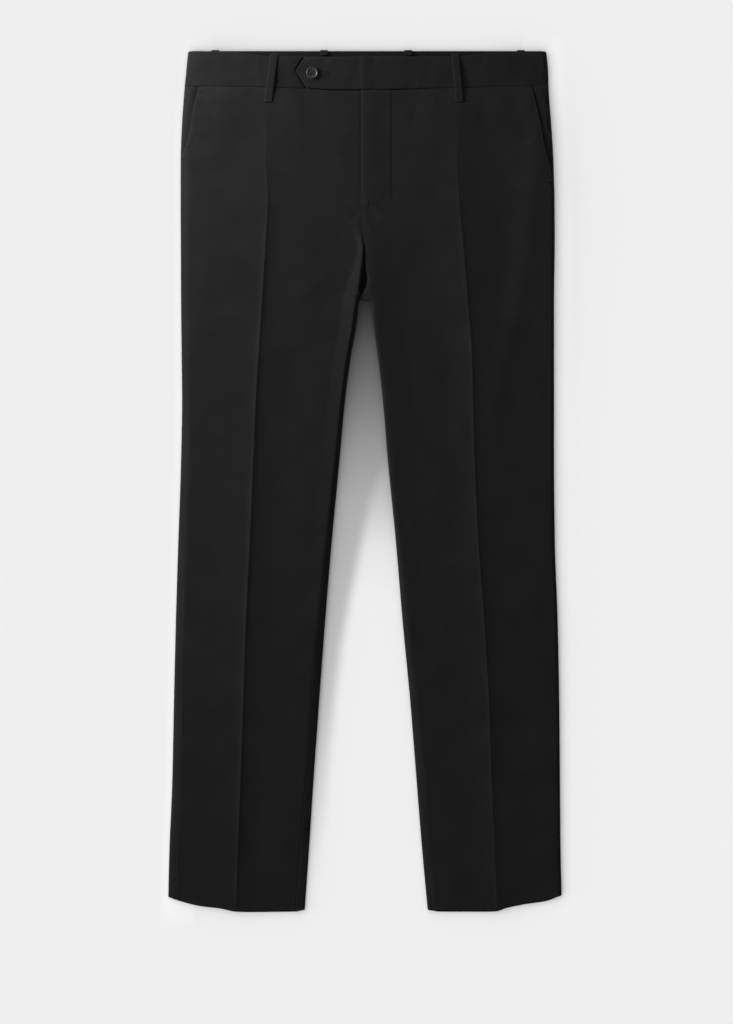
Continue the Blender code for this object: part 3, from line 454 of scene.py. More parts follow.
# Creases placed one by one: from one point to another, as (x, y), with a half width and a height.
# A trough has a height below 0.
CREASES = table(
    "x0 y0 x1 y1 half height",
    # round the fly's end
    (-3, 351, 22, 337, 3.6, 0.5), (-2, 343, 18, 322, 3.8, -0.5), (-4, 336, -22, 321, 3.6, -0.4),
    (-2, 330, 12, 304, 3.6, 0.45), (-6, 347, -26, 341, 4, 0.35), (6, 361, 34, 352, 4.2, -0.3),
    # from the right pocket's mouth
    (-209, 481, -184, 470, 3.2, 0.8), (-211, 470, -180, 462, 3, -0.6),
    (-213, 461, -190, 452, 3.4, 0.7), (-216, 447, -194, 441, 3.6, -0.45),
    (-218, 436, -199, 428, 3.8, 0.4), (-222, 420, -196, 396, 6, 0.35),
    # from the left pocket's mouth
    (212, 474, 192, 463, 3.6, 0.4), (216, 455, 189, 443, 3.8, -0.35),
    (222, 432, 200, 414, 4.4, 0.45), (229, 404, 205, 372, 6.5, 0.4),
    # on the waistband
    (-172, 496.5, -158, 495.5, 1.8, -0.4), (-128, 534, -125, 494, 2.6, -0.3),
    (-135, 532, -132, 500, 3, 0.25), (-205, 505, -176, 498, 4, 0.3),
    # under the waistband
    (-160, 486, -150, 446, 7, 0.3), (-96, 484, -88, 452, 6, -0.28),
    (-48, 482, -44, 440, 6.5, 0.26), (66, 483, 58, 437, 6.5, -0.3), (88, 484, 84, 455, 5, 0.3),
    (152, 482, 148, 430, 7.5, -0.3),
    # across the thighs and down the legs
    (-210, 300, -150, 262, 9, 0.45), (-150, 232, -214, 196, 10, -0.4),
    (-44, 262, -96, 214, 9, 0.4), (-40, 176, -104, 140, 10, -0.35), (44, 284, 98, 236, 9, -0.45),
    (58, 228, 112, 190, 9, 0.4), (62, 96, 118, 60, 10, -0.35), (150, 330, 206, 280, 10, -0.45),
    (152, 268, 224, 232, 9, 0.45), (-218, 92, -160, 66, 9, 0.4),
    (-166, -20, -226, -52, 10, -0.35), (-70, -60, -126, -96, 10, 0.3),
    (-180, -212, -232, -190, 9, 0.3), (-90, -262, -142, -240, 10, -0.3),
    (84, -118, 132, -92, 10, 0.35), (170, 36, 226, 8, 9, -0.35), (168, -150, 232, -176, 10, 0.35),
    (96, -296, 150, -262, 11, -0.3), (-172, -392, -236, -360, 10, -0.3),
    (176, -352, 236, -330, 10, -0.3), (-96, -420, -150, -448, 9, 0.28),
    (92, -440, 152, -470, 9, 0.3),
)
CREASE_TAPER = 0.35


def crease_heights(x, y):
    """What the listed creases add at points (x, y)."""
    total = np.zeros(np.shape(x))
    for x0, y0, x1, y1, half, height in zip(*CREASES.values()):
        along = np.array([x1 - x0, y1 - y0])
        length = np.hypot(*along)
        along /= length
        t = ((x - x0) * along[0] + (y - y0) * along[1]) / length
        away = (x - x0) * along[1] - (y - y0) * along[0]
        taper = fade_between(t, 0.0, CREASE_TAPER)
        taper = taper * (1.0 - fade_between(t, 1.0 - CREASE_TAPER, 1.0))
        total += height * taper * hump(away, half)
    return total


def floor_height(y):
    """The waist rests on the belt loops under it, and the rest on the surface."""
    return LOOP_LIFT * float(fade_between(y, LOOP_LIFT_START_Y, LOOP_LIFT_FULL_Y))


def valley_x(y):
    """Where the two fronts meet."""
    return at(VALLEY, "x", y)


def pocket_share(side, y):
    """1 where the front lies on the pocket facing, 0 from just below the pocket's mouth."""
    end = side["pocket"]["y"][0]
    return float(fade_between(y, end - POCKET_CLOSES_OVER, end))


def edge_radius(side, y):
    return 0.5 * at(side["shoulder"], "edge", y)


def fly_stitch(count=60):
    """The J of stitching: down from the waist seam, then round to the fly's lower end."""
    turn = np.linspace(0.0, np.pi / 2.0, count)
    end_x, end_y = FLY_STITCH_END
    x = end_x + (FLY_STITCH_X - end_x) * np.cos(turn)
    y = FLY_STITCH_BEND_Y - (FLY_STITCH_BEND_Y - end_y) * np.sin(turn)
    straight = np.linspace(WAIST_SEAM_FRONT_Y - 1.0, FLY_STITCH_BEND_Y, count)[:-1]
    return np.concatenate([row(FLY_STITCH_X, straight), row(x, y)])


FLY_STITCH = fly_stitch()


def distance_to(path, x, y):
    """The least distance from points (x, y), which share one y, to the points of a fine path."""
    return np.linalg.norm(row(x, y)[:, None, :] - path[None, :, :], axis=-1).min(axis=1)


def past_fly_end(y, stretch):
    """0 below the fly's lower end, 1 above it. stretch is where it changes, from that end."""
    return fade_between(y, FLY_END_Y + stretch[0], FLY_END_Y + stretch[1])


def front_knots(side, y, outer, crease):
    """The front's height as (u, z) points across it, without its finer forms."""
    roll = at(side["roll"], "height", y)
    middle = at(side["roll"], "middle", y)
    if y > CROTCH_Y:
        start = side["sign"] * valley_x(y)
        centre = at(CENTRE, "height", y)
        back = at(VALLEY_SIDES, "right" if side["sign"] < 0 else "left", y)
        knots = [(start, centre)]
        for place, share in VALLEY_RISE:
            knots.append((start + back + place, centre + share * (roll - centre)))
    else:
        low = 2.0 * at(side["inner_edge"], "radius", y)
        fill = at(side["inner_edge"], "fill", y)
        knots = [(at(side["inseam"], "inner", y), low + fill * (roll - low))]
    roll_u = at(side["roll"], "u", y)
    skirt = at(side["roll"], "skirt", y)
    knots.append((roll_u, roll))
    for reach, share in ROLL_SHAPE:
        knots.append((roll_u + reach * skirt, middle + share * (roll - middle)))
    return knots + [
        ((roll_u + skirt + crease) / 2.0, middle),
        (crease, at(LOFT, "crest", y)),
        ((crease + outer) / 2.0, at(LOFT, "outer", y)),
        (outer - at(side["shoulder"], "inside", y), at(side["shoulder"], "height", y)),
        (outer, at(side["shoulder"], "edge", y)),
    ]


def left_fly_height(y, u):
    """What the fly adds to the left front: it steps down past the stitching."""
    rise = FLY_RISE * (1.0 - FLY_FALL * fade_between(u, 0.0, FLY_STITCH_X))
    rise = rise * (1.0 - fade_between(u, FLY_STITCH_X + FLY_STEP[0], FLY_STITCH_X + FLY_STEP[1]))
    from_edge = np.clip(u - FLY_EDGE_X, 0.0, None)
    rise = rise - FLY_EDGE_ROLL * np.exp(-from_edge / FLY_EDGE_ROLL_WIDTH)
    return past_fly_end(y, FLY_RISE_END) * rise


def front_height(side, y, u, pocket_rise):
    """The height of the front's outer face, away from the rounded edges."""
    x = side["sign"] * u
    outer = at(side["outline"], "outer", y)
    crease = at(side["outline"], "crease", y)
    knots = front_knots(side, y, outer, crease)
    height = curve(*zip(*knots), u)
    away = np.sqrt((u - crease) ** 2 + CREST_ROUND**2)
    for share, width in ((side["crest_sharp"], CREST_SHARP_WIDTH), CREST_BROAD):
        height = height + share * at(LOFT, "ridge", y) * np.exp(-away / width)
    seam = fade_between(y, *SEAM_GROOVE_START_Y) * (1.0 - past_fly_end(y, SEAM_GROOVE_END))
    height = height - SEAM_GROOVE * seam * hump(x - valley_x(y), SEAM_GROOVE_HALF)
    mouth = at(side["pocket"], "mouth", y)
    fade = fade_between(u, mouth - POCKET_FADE[0], mouth - POCKET_FADE[1])
    fade = fade * (1.0 - POCKET_SEWN * fade_between(y, *POCKET_SEWN_Y))
    height = height + pocket_rise * pocket_share(side, y) * fade
    if side["sign"] < 0:
        fly = past_fly_end(y, FLY_GROOVE_END)
        height = height - fly * FLY_GROOVE * hump(x - FLY_EDGE_X, FLY_GROOVE_HALF)
    else:
        fold = at(LEFT_FOLD, "height", y)
        height = height + fold * hump(u - at(LEFT_FOLD, "middle", y), FOLD_HALF_WIDTH)
        height = height + left_fly_height(y, u)
        if y > FLY_STITCH_END[1] - STITCH_GROOVE_REACH:
            away = distance_to(FLY_STITCH, u, y)
            height = height - STITCH_GROOVE * hump(away, STITCH_GROOVE_HALF)
    start = knots[0][0]
    inside = fade_between(u, start, start + DRAPE_FROM_EDGE)
    inside = inside * (1.0 - fade_between(u, outer - DRAPE_FROM_EDGE, outer))
    height = height + DRAPE_HEIGHT * inside * DRAPE.at(x, y)
    height = height + RUMPLE_HEIGHT * RUMPLE.at(x, y)
    return height + crease_heights(x, y)


def front_start(side, y):
    """Where the front begins in the middle, above the crotch.

    The left front covers the right one at the fly. The right one draws back where the fly ends.
    """
    if side["sign"] > 0:
        fly = float(past_fly_end(y, FLY_STEP_END))
        return valley_x(y) + SEAM_GAP / 2.0 + fly * (FLY_EDGE_X - valley_x(y) - SEAM_GAP / 2.0)
    drawn = 1.0 - float(past_fly_end(y, UNDERLAP_END))
    return -UNDERLAP_X + drawn * (UNDERLAP_X - valley_x(y) + SEAM_GAP / 2.0)


# The back seam moves over to the front one between the crotch and this y.
BACK_SEAM_STRAIGHT_Y = 320.0


def back_end(side, y):
    """Where the back ends in the middle, above the crotch."""
    drawn = 1.0 - fade_between(y, CROTCH_Y, BACK_SEAM_STRAIGHT_Y)
    seam = BACK_SEAM_X + (valley_x(CROTCH_Y) - BACK_SEAM_X) * drawn
    return side["sign"] * float(seam) + SEAM_GAP / 2.0


BACK_CREASE_LIFT = 0.35
BACK_CREASE_WIDTH = 9.0
BACK_UNEVEN = Waves(31, 55.0, 2.5)
BACK_UNEVEN_HEIGHT = 0.12


def back_lift(side, y, u):
    """How far the underside stands off the surface between the pressed crease and the edges."""
    crease = at(side["outline"], "crease", y)
    lift = BACK_CREASE_LIFT * (1.0 - np.exp(-np.abs(u - crease) / BACK_CREASE_WIDTH))
    return np.clip(lift + BACK_UNEVEN_HEIGHT * BACK_UNEVEN.at(side["sign"] * u, y), 0.0, None)


# A closed loop repeats some points, so that a panel can run on past its start.
REPEATED = 64
TOP_POINTS = 500
FLOOR_POINTS = 120
LIFT_FROM_EDGE = 12.0


def edge_arc(reach):
    """Distances from the outline and shares of the height, round a quarter of an edge."""
    turn = np.linspace(0.0, np.pi / 2.0, EDGE_POINTS)
    return reach * (1.0 - np.cos(turn)), np.sin(turn)


def loop(height, lift, start, inner, outer, end, floor):
    """The closed section as (u, z) points, and the length of its stretch over the front.

    inner and outer are (u, radius, reach) of the rounded edges. Without an inner edge the front
    begins at start and the floor ends at end. lift gives the underside's height off the floor.
    """
    outer_u, outer_r, outer_reach = outer
    distance, share = edge_arc(outer_reach)
    if inner:
        inner_u, inner_r, inner_reach = inner
        inner_distance, inner_share = edge_arc(inner_reach)
        u = inner_u + inner_distance
        first = row(u, inner_r + (height(u) - inner_r) * inner_share)
        flat_from = inner_u + inner_reach
    else:
        first = np.array([[start, float(height(np.array([start]))[0])]])
        flat_from = start
    u = np.linspace(flat_from, outer_u - outer_reach, TOP_POINTS)[1:-1]
    middle = row(u, height(u))
    u = outer_u - distance[::-1]
    last = row(u, outer_r + (height(u) - outer_r) * share[::-1])
    over = np.concatenate([first, middle, last])
    distance, share = edge_arc(outer_r)
    down = row(outer_u - distance, outer_r * (1.0 - share))[1:]
    if inner:
        distance, share = edge_arc(inner_r)
        up = row(inner_u + distance, inner_r * (1.0 - share))[::-1]
    else:
        up = np.array([[end, 0.0]])
    along = np.linspace(down[-1], up[0], FLOOR_POINTS)[1:-1]
    from_edge = np.minimum(np.abs(along[:, 0] - down[-1, 0]), np.abs(along[:, 0] - up[0, 0]))
    along[:, 1] += lift(along[:, 0]) * fade_between(from_edge, 0.0, LIFT_FROM_EDGE)
    under = np.concatenate([down, along, up])
    over_length = np.linalg.norm(np.diff(over, axis=0), axis=1).sum()
    points = np.concatenate([over, under])
    if inner:
        points = np.concatenate([points, over[1 : REPEATED + 1]])
    points[:, 1] += floor
    return points, over_length


class Section:
    """A section of a side: points by distance along the loop, and the way into the cloth."""

    def __init__(self, points, over_length, closed):
        self.points = points
        self.along = lengths_along(points)
        self.over = over_length
        self.around = self.along[-REPEATED - 1] if closed else self.along[-1]
        tangent = np.gradient(points, axis=0)
        if closed:
            tangent[0] = tangent[-REPEATED - 1]
        tangent /= np.linalg.norm(tangent, axis=1)[:, None]
        self.inward = row(tangent[:, 1], -tangent[:, 0])

    def point(self, distance, depth=0.0):
        """Points at these distances along the loop, moved into the cloth by depth."""
        place, inward = [
            row(*[np.interp(distance, self.along, values[:, k]) for k in (0, 1)])
            for values in (self.points, self.inward)
        ]
        inward /= np.linalg.norm(inward, axis=-1)[..., None]
        return place + np.asarray(depth)[..., None] * inward

    def distance_at(self, u):
        """The distance along the front at which it is this far from the middle."""
        over = self.along <= self.over + 1e-6
        return float(np.interp(u, self.points[over, 0], self.along[over]))


def leg_section(side, y, pocket_rise):
    """The section at y. The tuck under the waistband keeps the waist seam's section."""
    y = min(y, WAIST_Y)
    radius = edge_radius(side, y)
    outer = (at(side["outline"], "outer", y), radius, side["outer_reach"] * radius)
    inner = None
    if y <= CROTCH_Y:
        inner = (
            at(side["inseam"], "inner", y),
            at(side["inner_edge"], "radius", y),
            at(side["inner_edge"], "reach", y),
        )
    points, over = loop(
        lambda u: front_height(side, y, u, pocket_rise),
        lambda u: back_lift(side, y, u),
        front_start(side, y),
        inner,
        outer,
        back_end(side, y),
        floor_height(y),
    )
    return Section(points, over, closed=inner is not None)


def seam_shift(side, y, name):
    """How far a leg's seam lies in from the outline, along the cloth."""
    return float(np.interp(y, side["seams"]["y"], side["seams"][name]))


def refined(knots, steps):
    """Places from knot to knot. steps says how many steps each stretch takes."""
    places = [np.array([knots[0]])]
    for low, high, count in zip(knots[:-1], knots[1:], steps):
        places.append(np.linspace(low, high, count + 1)[1:])
    return np.concatenate(places)


# Columns crowd this near to an edge, where the cloth is rounded.
NEAR_EDGE = (0.4, 0.9)


def leaving(edge):
    """Knots of columns from an edge on."""
    return [edge] + [edge + step for step in NEAR_EDGE]


def reaching(edge):
    """Knots of columns up to an edge."""
    return [edge - step for step in reversed(NEAR_EDGE)] + [edge]


# Steps between the knots of a front's columns, from the middle out.
FRONT_STEPS = (1, 1, 2, 34, 26, 7, 3, 3, 7, 32, 8, 1, 1)
CREST_NEAR = 1.2
CREST_BY = 9.0
ZONE = 44.0
FRONT_FIRST = 2.0
FRONT_LAST = 12.0


def front_columns(side, y, section):
    """Distances along the loop of a front's columns in the row at y."""
    y = min(y, WAIST_Y)
    crease = section.distance_at(at(side["outline"], "crease", y))
    start = SEAM_GAP / 2.0 + seam_shift(side, y, "inner") if y <= CROTCH_Y else 0.0
    end = section.over - SEAM_GAP / 2.0 - seam_shift(side, y, "outer")
    if y >= side["pocket"]["y"][0]:
        end = section.distance_at(at(side["pocket"], "mouth", y))
    zone = start + min(ZONE, 0.5 * (crease - start))
    knots = leaving(start) + [start + FRONT_FIRST, zone]
    knots += [crease + away for away in (-CREST_BY, -CREST_NEAR, 0.0, CREST_NEAR, CREST_BY)]
    knots += [end - FRONT_LAST] + reaching(end)
    return refined(knots, FRONT_STEPS)


# Steps between the knots of a back's columns, from the outseam under and up to the inseam.
BACK_STEPS = (1, 1, 3, 6, 6, 50, 3, 3, 40, 6, 6, 3, 1, 1)
BACK_FIRST = 1.5
BACK_LAST = 1.5
BACK_EDGE_BY = 6.0
BACK_CREST_BY = 4.0
# Above the crotch a back ends in the middle: where it begins to rise, and where it bends.
BACK_SEAM_RISE = 4.0
BACK_SEAM_BEND = 2.5


def back_columns(side, y, section):
    """Distances along the loop of a back's columns: round the outer edge, under, and up again."""
    y = min(y, WAIST_Y)
    crease = at(side["outline"], "crease", y)
    quarter = np.pi / 2.0 * edge_radius(side, y)
    start = section.over - seam_shift(side, y, "outer") + SEAM_GAP / 2.0
    flat = section.over + quarter
    turn = max(start + BACK_FIRST, section.over)
    if y > CROTCH_Y:
        end = section.around
        rise = end - BACK_SEAM_RISE
        bend = end - BACK_SEAM_BEND
    else:
        end = section.around + seam_shift(side, y, "inner") - SEAM_GAP / 2.0
        quarter_in = np.pi / 2.0 * at(side["inner_edge"], "radius", y)
        rise = section.around - quarter_in
        bend = min(section.around, end - BACK_LAST)
    outer = at(side["outline"], "outer", y)
    inner = at(side["inseam"], "inner", y) if y <= CROTCH_Y else 0.0
    centre = flat + (rise - flat) * (outer - crease) / (outer - inner)
    knots = leaving(start) + [turn, flat, flat + BACK_EDGE_BY]
    knots += [centre - BACK_CREST_BY, centre, centre + BACK_CREST_BY]
    knots += [rise - BACK_EDGE_BY, rise, bend] + reaching(end)
    return refined(knots, BACK_STEPS)


WAIST_SEAM_HALF = 190.0


def waist_seam_y(u):
    """The seam under the waistband dips in the middle."""
    share = fade_between(np.abs(u), 0.0, WAIST_SEAM_HALF)
    return WAIST_SEAM_FRONT_Y + (WAIST_SEAM_SIDE_Y - WAIST_SEAM_FRONT_Y) * share


TURN_UP_DIP = 0.16
TURN_UP_HALF = 1.3
TURN_UP_UNEVEN = Waves(57, 9.0, 1.0)

# The back's hem lies lower than the front's, most of all at the inner half of each leg.
BACK_HEM_DROP = 2.2
BACK_HEM_DROP_OUTER = 1.5
BACK_HEM_CHANGE = 12.0
BACK_HEM_FADE = (0.5, 14.0)
# The rounding of an edge is cut a little short, so that its slope stays finite.
EDGE_FULLNESS = 0.98


def follow_edges(side, y, u, back):
    """The true y of points in a row, which bends to the waist seam at the top and to the hem."""
    near_waist = float(fade_between(y, WAIST_CURVE_START_Y, WAIST_Y))
    seam = WAIST_SEAM_SIDE_Y if back else waist_seam_y(u)
    near_hem = float(fade_between(y, HEM_CURVE_START_Y, HEM_Y))
    hem = curve(side["hem"]["u"], side["hem"]["y"], u)
    if back:
        crease = side["outline"]["crease"][0]
        outer_half = fade_between(u, crease - BACK_HEM_CHANGE, crease + BACK_HEM_CHANGE)
        drop = BACK_HEM_DROP + (BACK_HEM_DROP_OUTER - BACK_HEM_DROP) * outer_half
        from_edge = np.minimum(u - side["hem"]["u"][0], side["hem"]["u"][-1] - u)
        hem = hem - drop * fade_between(from_edge, *BACK_HEM_FADE)
    return y + near_waist * (seam - WAIST_Y) + near_hem * (hem - HEM_Y)


def edge_depth(distance, radius=SEAM_DIP_WIDTH, dip=SEAM_DIP):
    """How deep the outer face sinks near an edge, so that the edge is round."""
    share = np.clip(1.0 - distance / radius, 0.0, 1.0)
    return dip * (1.0 - np.sqrt(1.0 - EDGE_FULLNESS * share**2))


def turn_up_depth(side, y, places):
    """The faint line where the turned-up hem is sewn down: a row of uneven dimples."""
    near = hump(y - HEM_Y - HEM_TURN, TURN_UP_HALF)
    return TURN_UP_DIP * near * (0.5 + 0.5 * TURN_UP_UNEVEN.at(side["sign"] * places, 0.0))


# The cloth dives under the waistband by this much, less so round the outline.
TUCK_DIP = 1.5
TUCK_REACH = 1.2
TUCK_AT_OUTLINE = 0.2
TUCK_FADE = (3.0, 12.0)


def tuck_depth(y, from_outline):
    """How deep the cloth dives at y towards the waistband, by its distance from the outline."""
    inside = fade_between(np.abs(from_outline), *TUCK_FADE)
    share = TUCK_AT_OUTLINE + (1.0 - TUCK_AT_OUTLINE) * inside
    return TUCK_DIP * share * np.exp(-max(WAIST_Y - y, 0.0) / TUCK_REACH)


def wall_at(y):
    """The cloth is double where the hem is turned up."""
    turned_to = HEM_Y + HEM_TURN
    single = float(fade_between(y, turned_to - HEM_WALL_FADE, turned_to + HEM_WALL_FADE))
    return WALL + (HEM_WALL - WALL) * (1.0 - single)


def worn_by(*distances):
    """How worn the cloth is, from 0 to 1, by its distances from edges."""
    return np.exp(-np.minimum.reduce(np.broadcast_arrays(*distances)) / WORN_WIDTH)


def stops(*knots):
    """Rows from (y, spacing) knots down to the last one."""
    rows = []
    for (high, spacing), (low, _) in zip(knots[:-1], knots[1:]):
        steps = max(1, int(round((high - low) / spacing)))
        rows.append(np.linspace(high, low, steps + 1)[:-1])
    rows.append(np.array([knots[-1][0]]))
    return np.concatenate(rows)


# The rows of a leg's panels, closer where the form changes fast.
LEG_ROWS = stops(
    (WAIST_Y + WAIST_TUCK, 1.2),
    (WAIST_Y, 0.6),
    (WAIST_Y - 3.0, 2.4),
    (234.0, 1.0),
    (CROTCH_Y + 0.01, 0.01),
    (CROTCH_Y, 0.9),
    (226.0, 0.3),
    (222.0, 3.0),
    (100.0, 3.6),
    (-494.0, 0.8),
    (-504.0, 3.0),
    (HEM_Y + 1.6, 0.4),
    (HEM_Y, 0.4),
)


def wall_grids(make_rows):
    """Lets a function that yields rows of (outer, inner, cloth) points return three grids."""

    def made(*values, **options):
        return tuple(np.array(grid) for grid in zip(*make_rows(*values, **options)))

    return made


@wall_grids
def panel(side, sections, columns, back=False):
    """The outer and inner grids of a front or a back, and its cloth coordinates."""
    for y, section in zip(LEG_ROWS, sections):
        places = columns(side, y, section)
        from_start, from_end, from_hem = places - places[0], places[-1] - places, y - HEM_Y
        crisp = 1.0 if back else 1.0 + (CRISP - 1.0) * float(fade_between(y, *MIDDLE_EDGE_FADE))
        dip = edge_depth(crisp * from_start) / crisp + edge_depth(from_end)
        dip = dip + edge_depth(from_hem) + turn_up_depth(side, y, places)
        tuck = tuck_depth(y, section.over - places)
        true_y = follow_edges(side, y, section.point(places)[:, 0], back)
        faces = [section.point(places, depth) for depth in (dip + tuck, wall_at(y) + tuck)]
        outer, inner = [row(side["sign"] * face[:, 0], true_y, face[:, 1]) for face in faces]
        worn = worn_by(from_start, from_end, from_hem)
        if not back:
            crest = section.distance_at(at(side["outline"], "crease", min(y, WAIST_Y)))
            worn = np.maximum(worn, CREST_WORN * worn_by(np.abs(places - crest)))
        yield outer, inner, row(places, true_y, worn)


def quads(grid):
    """Faces with four corners between the numbers of a grid of points."""
    corners = (grid[:-1, :-1], grid[:-1, 1:], grid[1:, 1:], grid[1:, :-1])
    return np.stack(corners, axis=-1).reshape(-1, 4)


def picked(count, keep, stride):
    """Which rows or columns the inner face uses: all of them near the edges, few between."""
    middle = np.arange(keep, count - keep, stride)
    return np.unique(np.concatenate([np.arange(keep), middle, np.arange(count - keep, count)]))


def closed_wall(name, outer, inner, cloth, keep=3, stride=4):
    """A closed wall of cloth between two grids. Its inner face is coarser than its outer one."""
    rows, columns = outer.shape[:2]
    i_pick = picked(rows, keep, stride)
    j_pick = picked(columns, keep, stride)
    inner = inner[np.ix_(i_pick, j_pick)]
    cloth_in = cloth[np.ix_(i_pick, j_pick)]
    top = np.arange(rows * columns).reshape(rows, columns)
    low = rows * columns + np.arange(inner.shape[0] * inner.shape[1]).reshape(inner.shape[:2])
    faces = quads(top).tolist() + quads(low)[:, ::-1].tolist()
    edges = (
        (top[:, 0], low[:, 0], i_pick, False),
        (top[:, -1], low[:, -1], i_pick, True),
        (top[0], low[0], j_pick, True),
        (top[-1], low[-1], j_pick, False),
    )
    for above, below, picks, turned in edges:
        for k, (first, last) in enumerate(zip(picks, picks[1:])):
            face = [*above[first : last + 1].tolist(), below[k + 1], below[k]]
            faces.append(face[::-1] if turned else face)
    points = np.concatenate([outer.reshape(-1, 3), inner.reshape(-1, 3)])
    cloth = np.concatenate([cloth.reshape(-1, 3), cloth_in.reshape(-1, 3)])
    return new_piece(name, points, faces, cloth)


def placed(name, data):
    """A new object of this data, in the scene."""
    made = bpy.data.objects.new(name, data)
    bpy.context.scene.collection.objects.link(made)
    return made


def new_piece(name, points, faces, cloth=None, sharp=40.0):
    """A smooth-shaded mesh from points in millimetres, with its faces turned outward.

    cloth gives each point's place on the flat cloth, in millimetres, and how worn it is.
    """
    mesh = bpy.data.meshes.new(name)
    mesh.from_pydata((np.asarray(points) * MM).tolist(), [], faces)
    if cloth is not None:
        corners = np.empty(len(mesh.loops), np.int32)
        mesh.loops.foreach_get("vertex_index", corners)
        layer = mesh.uv_layers.new(name="cloth")
        layer.data.foreach_set("uv", (cloth[corners, :2] * MM).astype(np.float32).ravel())
        worn = mesh.attributes.new("worn", "FLOAT", "POINT")
        worn.data.foreach_set("value", cloth[:, 2].astype(np.float32))
    if volume(mesh) < 0.0:
        mesh.flip_normals()
    mesh.validate()
    mesh.shade_smooth()
    mesh.set_sharp_from_angle(angle=np.radians(sharp))
    return placed(name, mesh)


def volume(mesh):
    """The signed volume inside a mesh: below 0 where its faces point inward."""
    mesh.calc_loop_triangles()
    corners = np.empty(len(mesh.loop_triangles) * 3, np.int32)
    mesh.loop_triangles.foreach_get("vertices", corners)
    points = np.empty(len(mesh.vertices) * 3)
    mesh.vertices.foreach_get("co", points)
    a, b, c = points.reshape(-1, 3)[corners.reshape(-1, 3)].transpose(1, 0, 2)
    return float((a * np.cross(b, c)).sum())


# How far under the front's edge the pocket facing reaches, and its columns.
POCKET_FACING_UNDER = 27.0
POCKET_FACING_BELOW = 22.0
POCKET_FACING_STEPS = (10, 3, 3, 6, 3, 1)
# Below the pocket's mouth: how far inside the front's edge its columns crowd, and where it ends.
POCKET_FACING_INSIDE = 8.0
POCKET_FACING_SHORT = 6.0
POCKET_COVERED = 0.3
# Columns by the pocket's mouth and by the outer edge, and how far apart the two stay at least.
POCKET_BY_MOUTH = (-4.0, -0.5, 0.6)
POCKET_BETWEEN = 0.7
POCKET_BY_EDGE = (1.2, 0.3, 0.0)
POCKET_SINK_ROOM = 10.0


@wall_grids
def pocket_facing(side, front_inner):
    """The facing under a front, from well inside the pocket mouth out to the side seam."""
    end = side["pocket"]["y"][0]
    for cover, y in zip(front_inner, LEG_ROWS):
        if y < end - POCKET_FACING_BELOW:
            break
        section = leg_section(side, y, 0.0)
        cover_u = side["sign"] * cover[:, 0]
        open_here = y >= end
        mouth_u = cover_u[-1] - POCKET_FACING_INSIDE
        edge = section.over - POCKET_FACING_SHORT
        if open_here:
            mouth_u = at(side["pocket"], "mouth", min(y, WAIST_Y))
            edge = section.over - SEAM_GAP / 2.0
        mouth = section.distance_at(mouth_u)
        start = section.distance_at(mouth_u - POCKET_FACING_UNDER)
        near_edge = [edge - away for away in POCKET_BY_EDGE]
        near_edge[0] = max(near_edge[0], mouth + POCKET_BETWEEN)
        knots = [start] + [mouth + away for away in POCKET_BY_MOUTH] + near_edge
        places = refined(knots, POCKET_FACING_STEPS)
        from_edge = places[-1] - places
        true_y = follow_edges(side, y, section.point(places)[:, 0], back=False)
        faces = []
        for depth, dip in ((0.0, edge_depth(from_edge)), (FACING_WALL, 0.0)):
            place = section.point(places, depth + dip)
            own = place[:, 1] - tuck_depth(y, section.over - places)
            under = np.interp(place[:, 0], cover_u, cover[:, 2]) - FACING_GAP - depth
            covered = place[:, 0] < mouth_u + POCKET_COVERED if open_here else True
            z = np.where(covered, np.minimum(under, own), own)
            if open_here:
                room = np.clip((edge - mouth) / POCKET_SINK_ROOM, 0.0, 1.0)
                away = np.clip(place[:, 0] - mouth_u, 0.0, None)
                z = z - side["pocket_sink"] * room * hump(away, POCKET_SINK_WIDTH)
            faces.append(row(side["sign"] * place[:, 0], true_y, z))
        yield *faces, row(places, true_y, worn_by(from_edge))


# The fly facing's outer edge, just past the J-shaped stitching.
FLY_FACING = table(
    "y edge",
    (492.5, 36.5), (400, 36.5), (379, 33), (361, 20), (352, 9),
)
FLY_FACING_COLUMNS = 24
FLY_FACING_IN = 3.0


@wall_grids
def fly_facing(front_inner):
    """The facing under the left front, from its fly edge out to the J-shaped stitching."""
    for cover, y in zip(front_inner, LEG_ROWS):
        if FLY_END_Y <= y <= WAIST_Y:
            edge = at(FLY_FACING, "edge", y)
            x = np.linspace(FLY_EDGE_X + FLY_FACING_IN, edge, FLY_FACING_COLUMNS)
            true_y = np.interp(x, cover[:, 0], cover[:, 1])
            height = np.interp(x, cover[:, 0], cover[:, 2]) - FACING_GAP
            yield row(x, true_y, height), row(x, true_y, height - FACING_WALL), row(x, true_y, 0.0)


BAND_TOP_ROLL = 1.9
BAND_TOP_DIP = 0.95
BAND_BACK_CURL = 2.3
BAND_BACK_CURL_FROM = 0.83
# The band's two halves are pressed together at the back seam by this much.
BAND_SEAM_LAP = 0.02
# The seam under the band is drawn in by its sewing.
BAND_SEAM_ROLL = 3.0
BAND_SEAM_DIP = 1.15
BAND_WAVES = Waves(41, 17.0, 1.6)
BAND_WAVES_HEIGHT = 0.09
BAND_WAVES_FROM_EDGE = 10.0


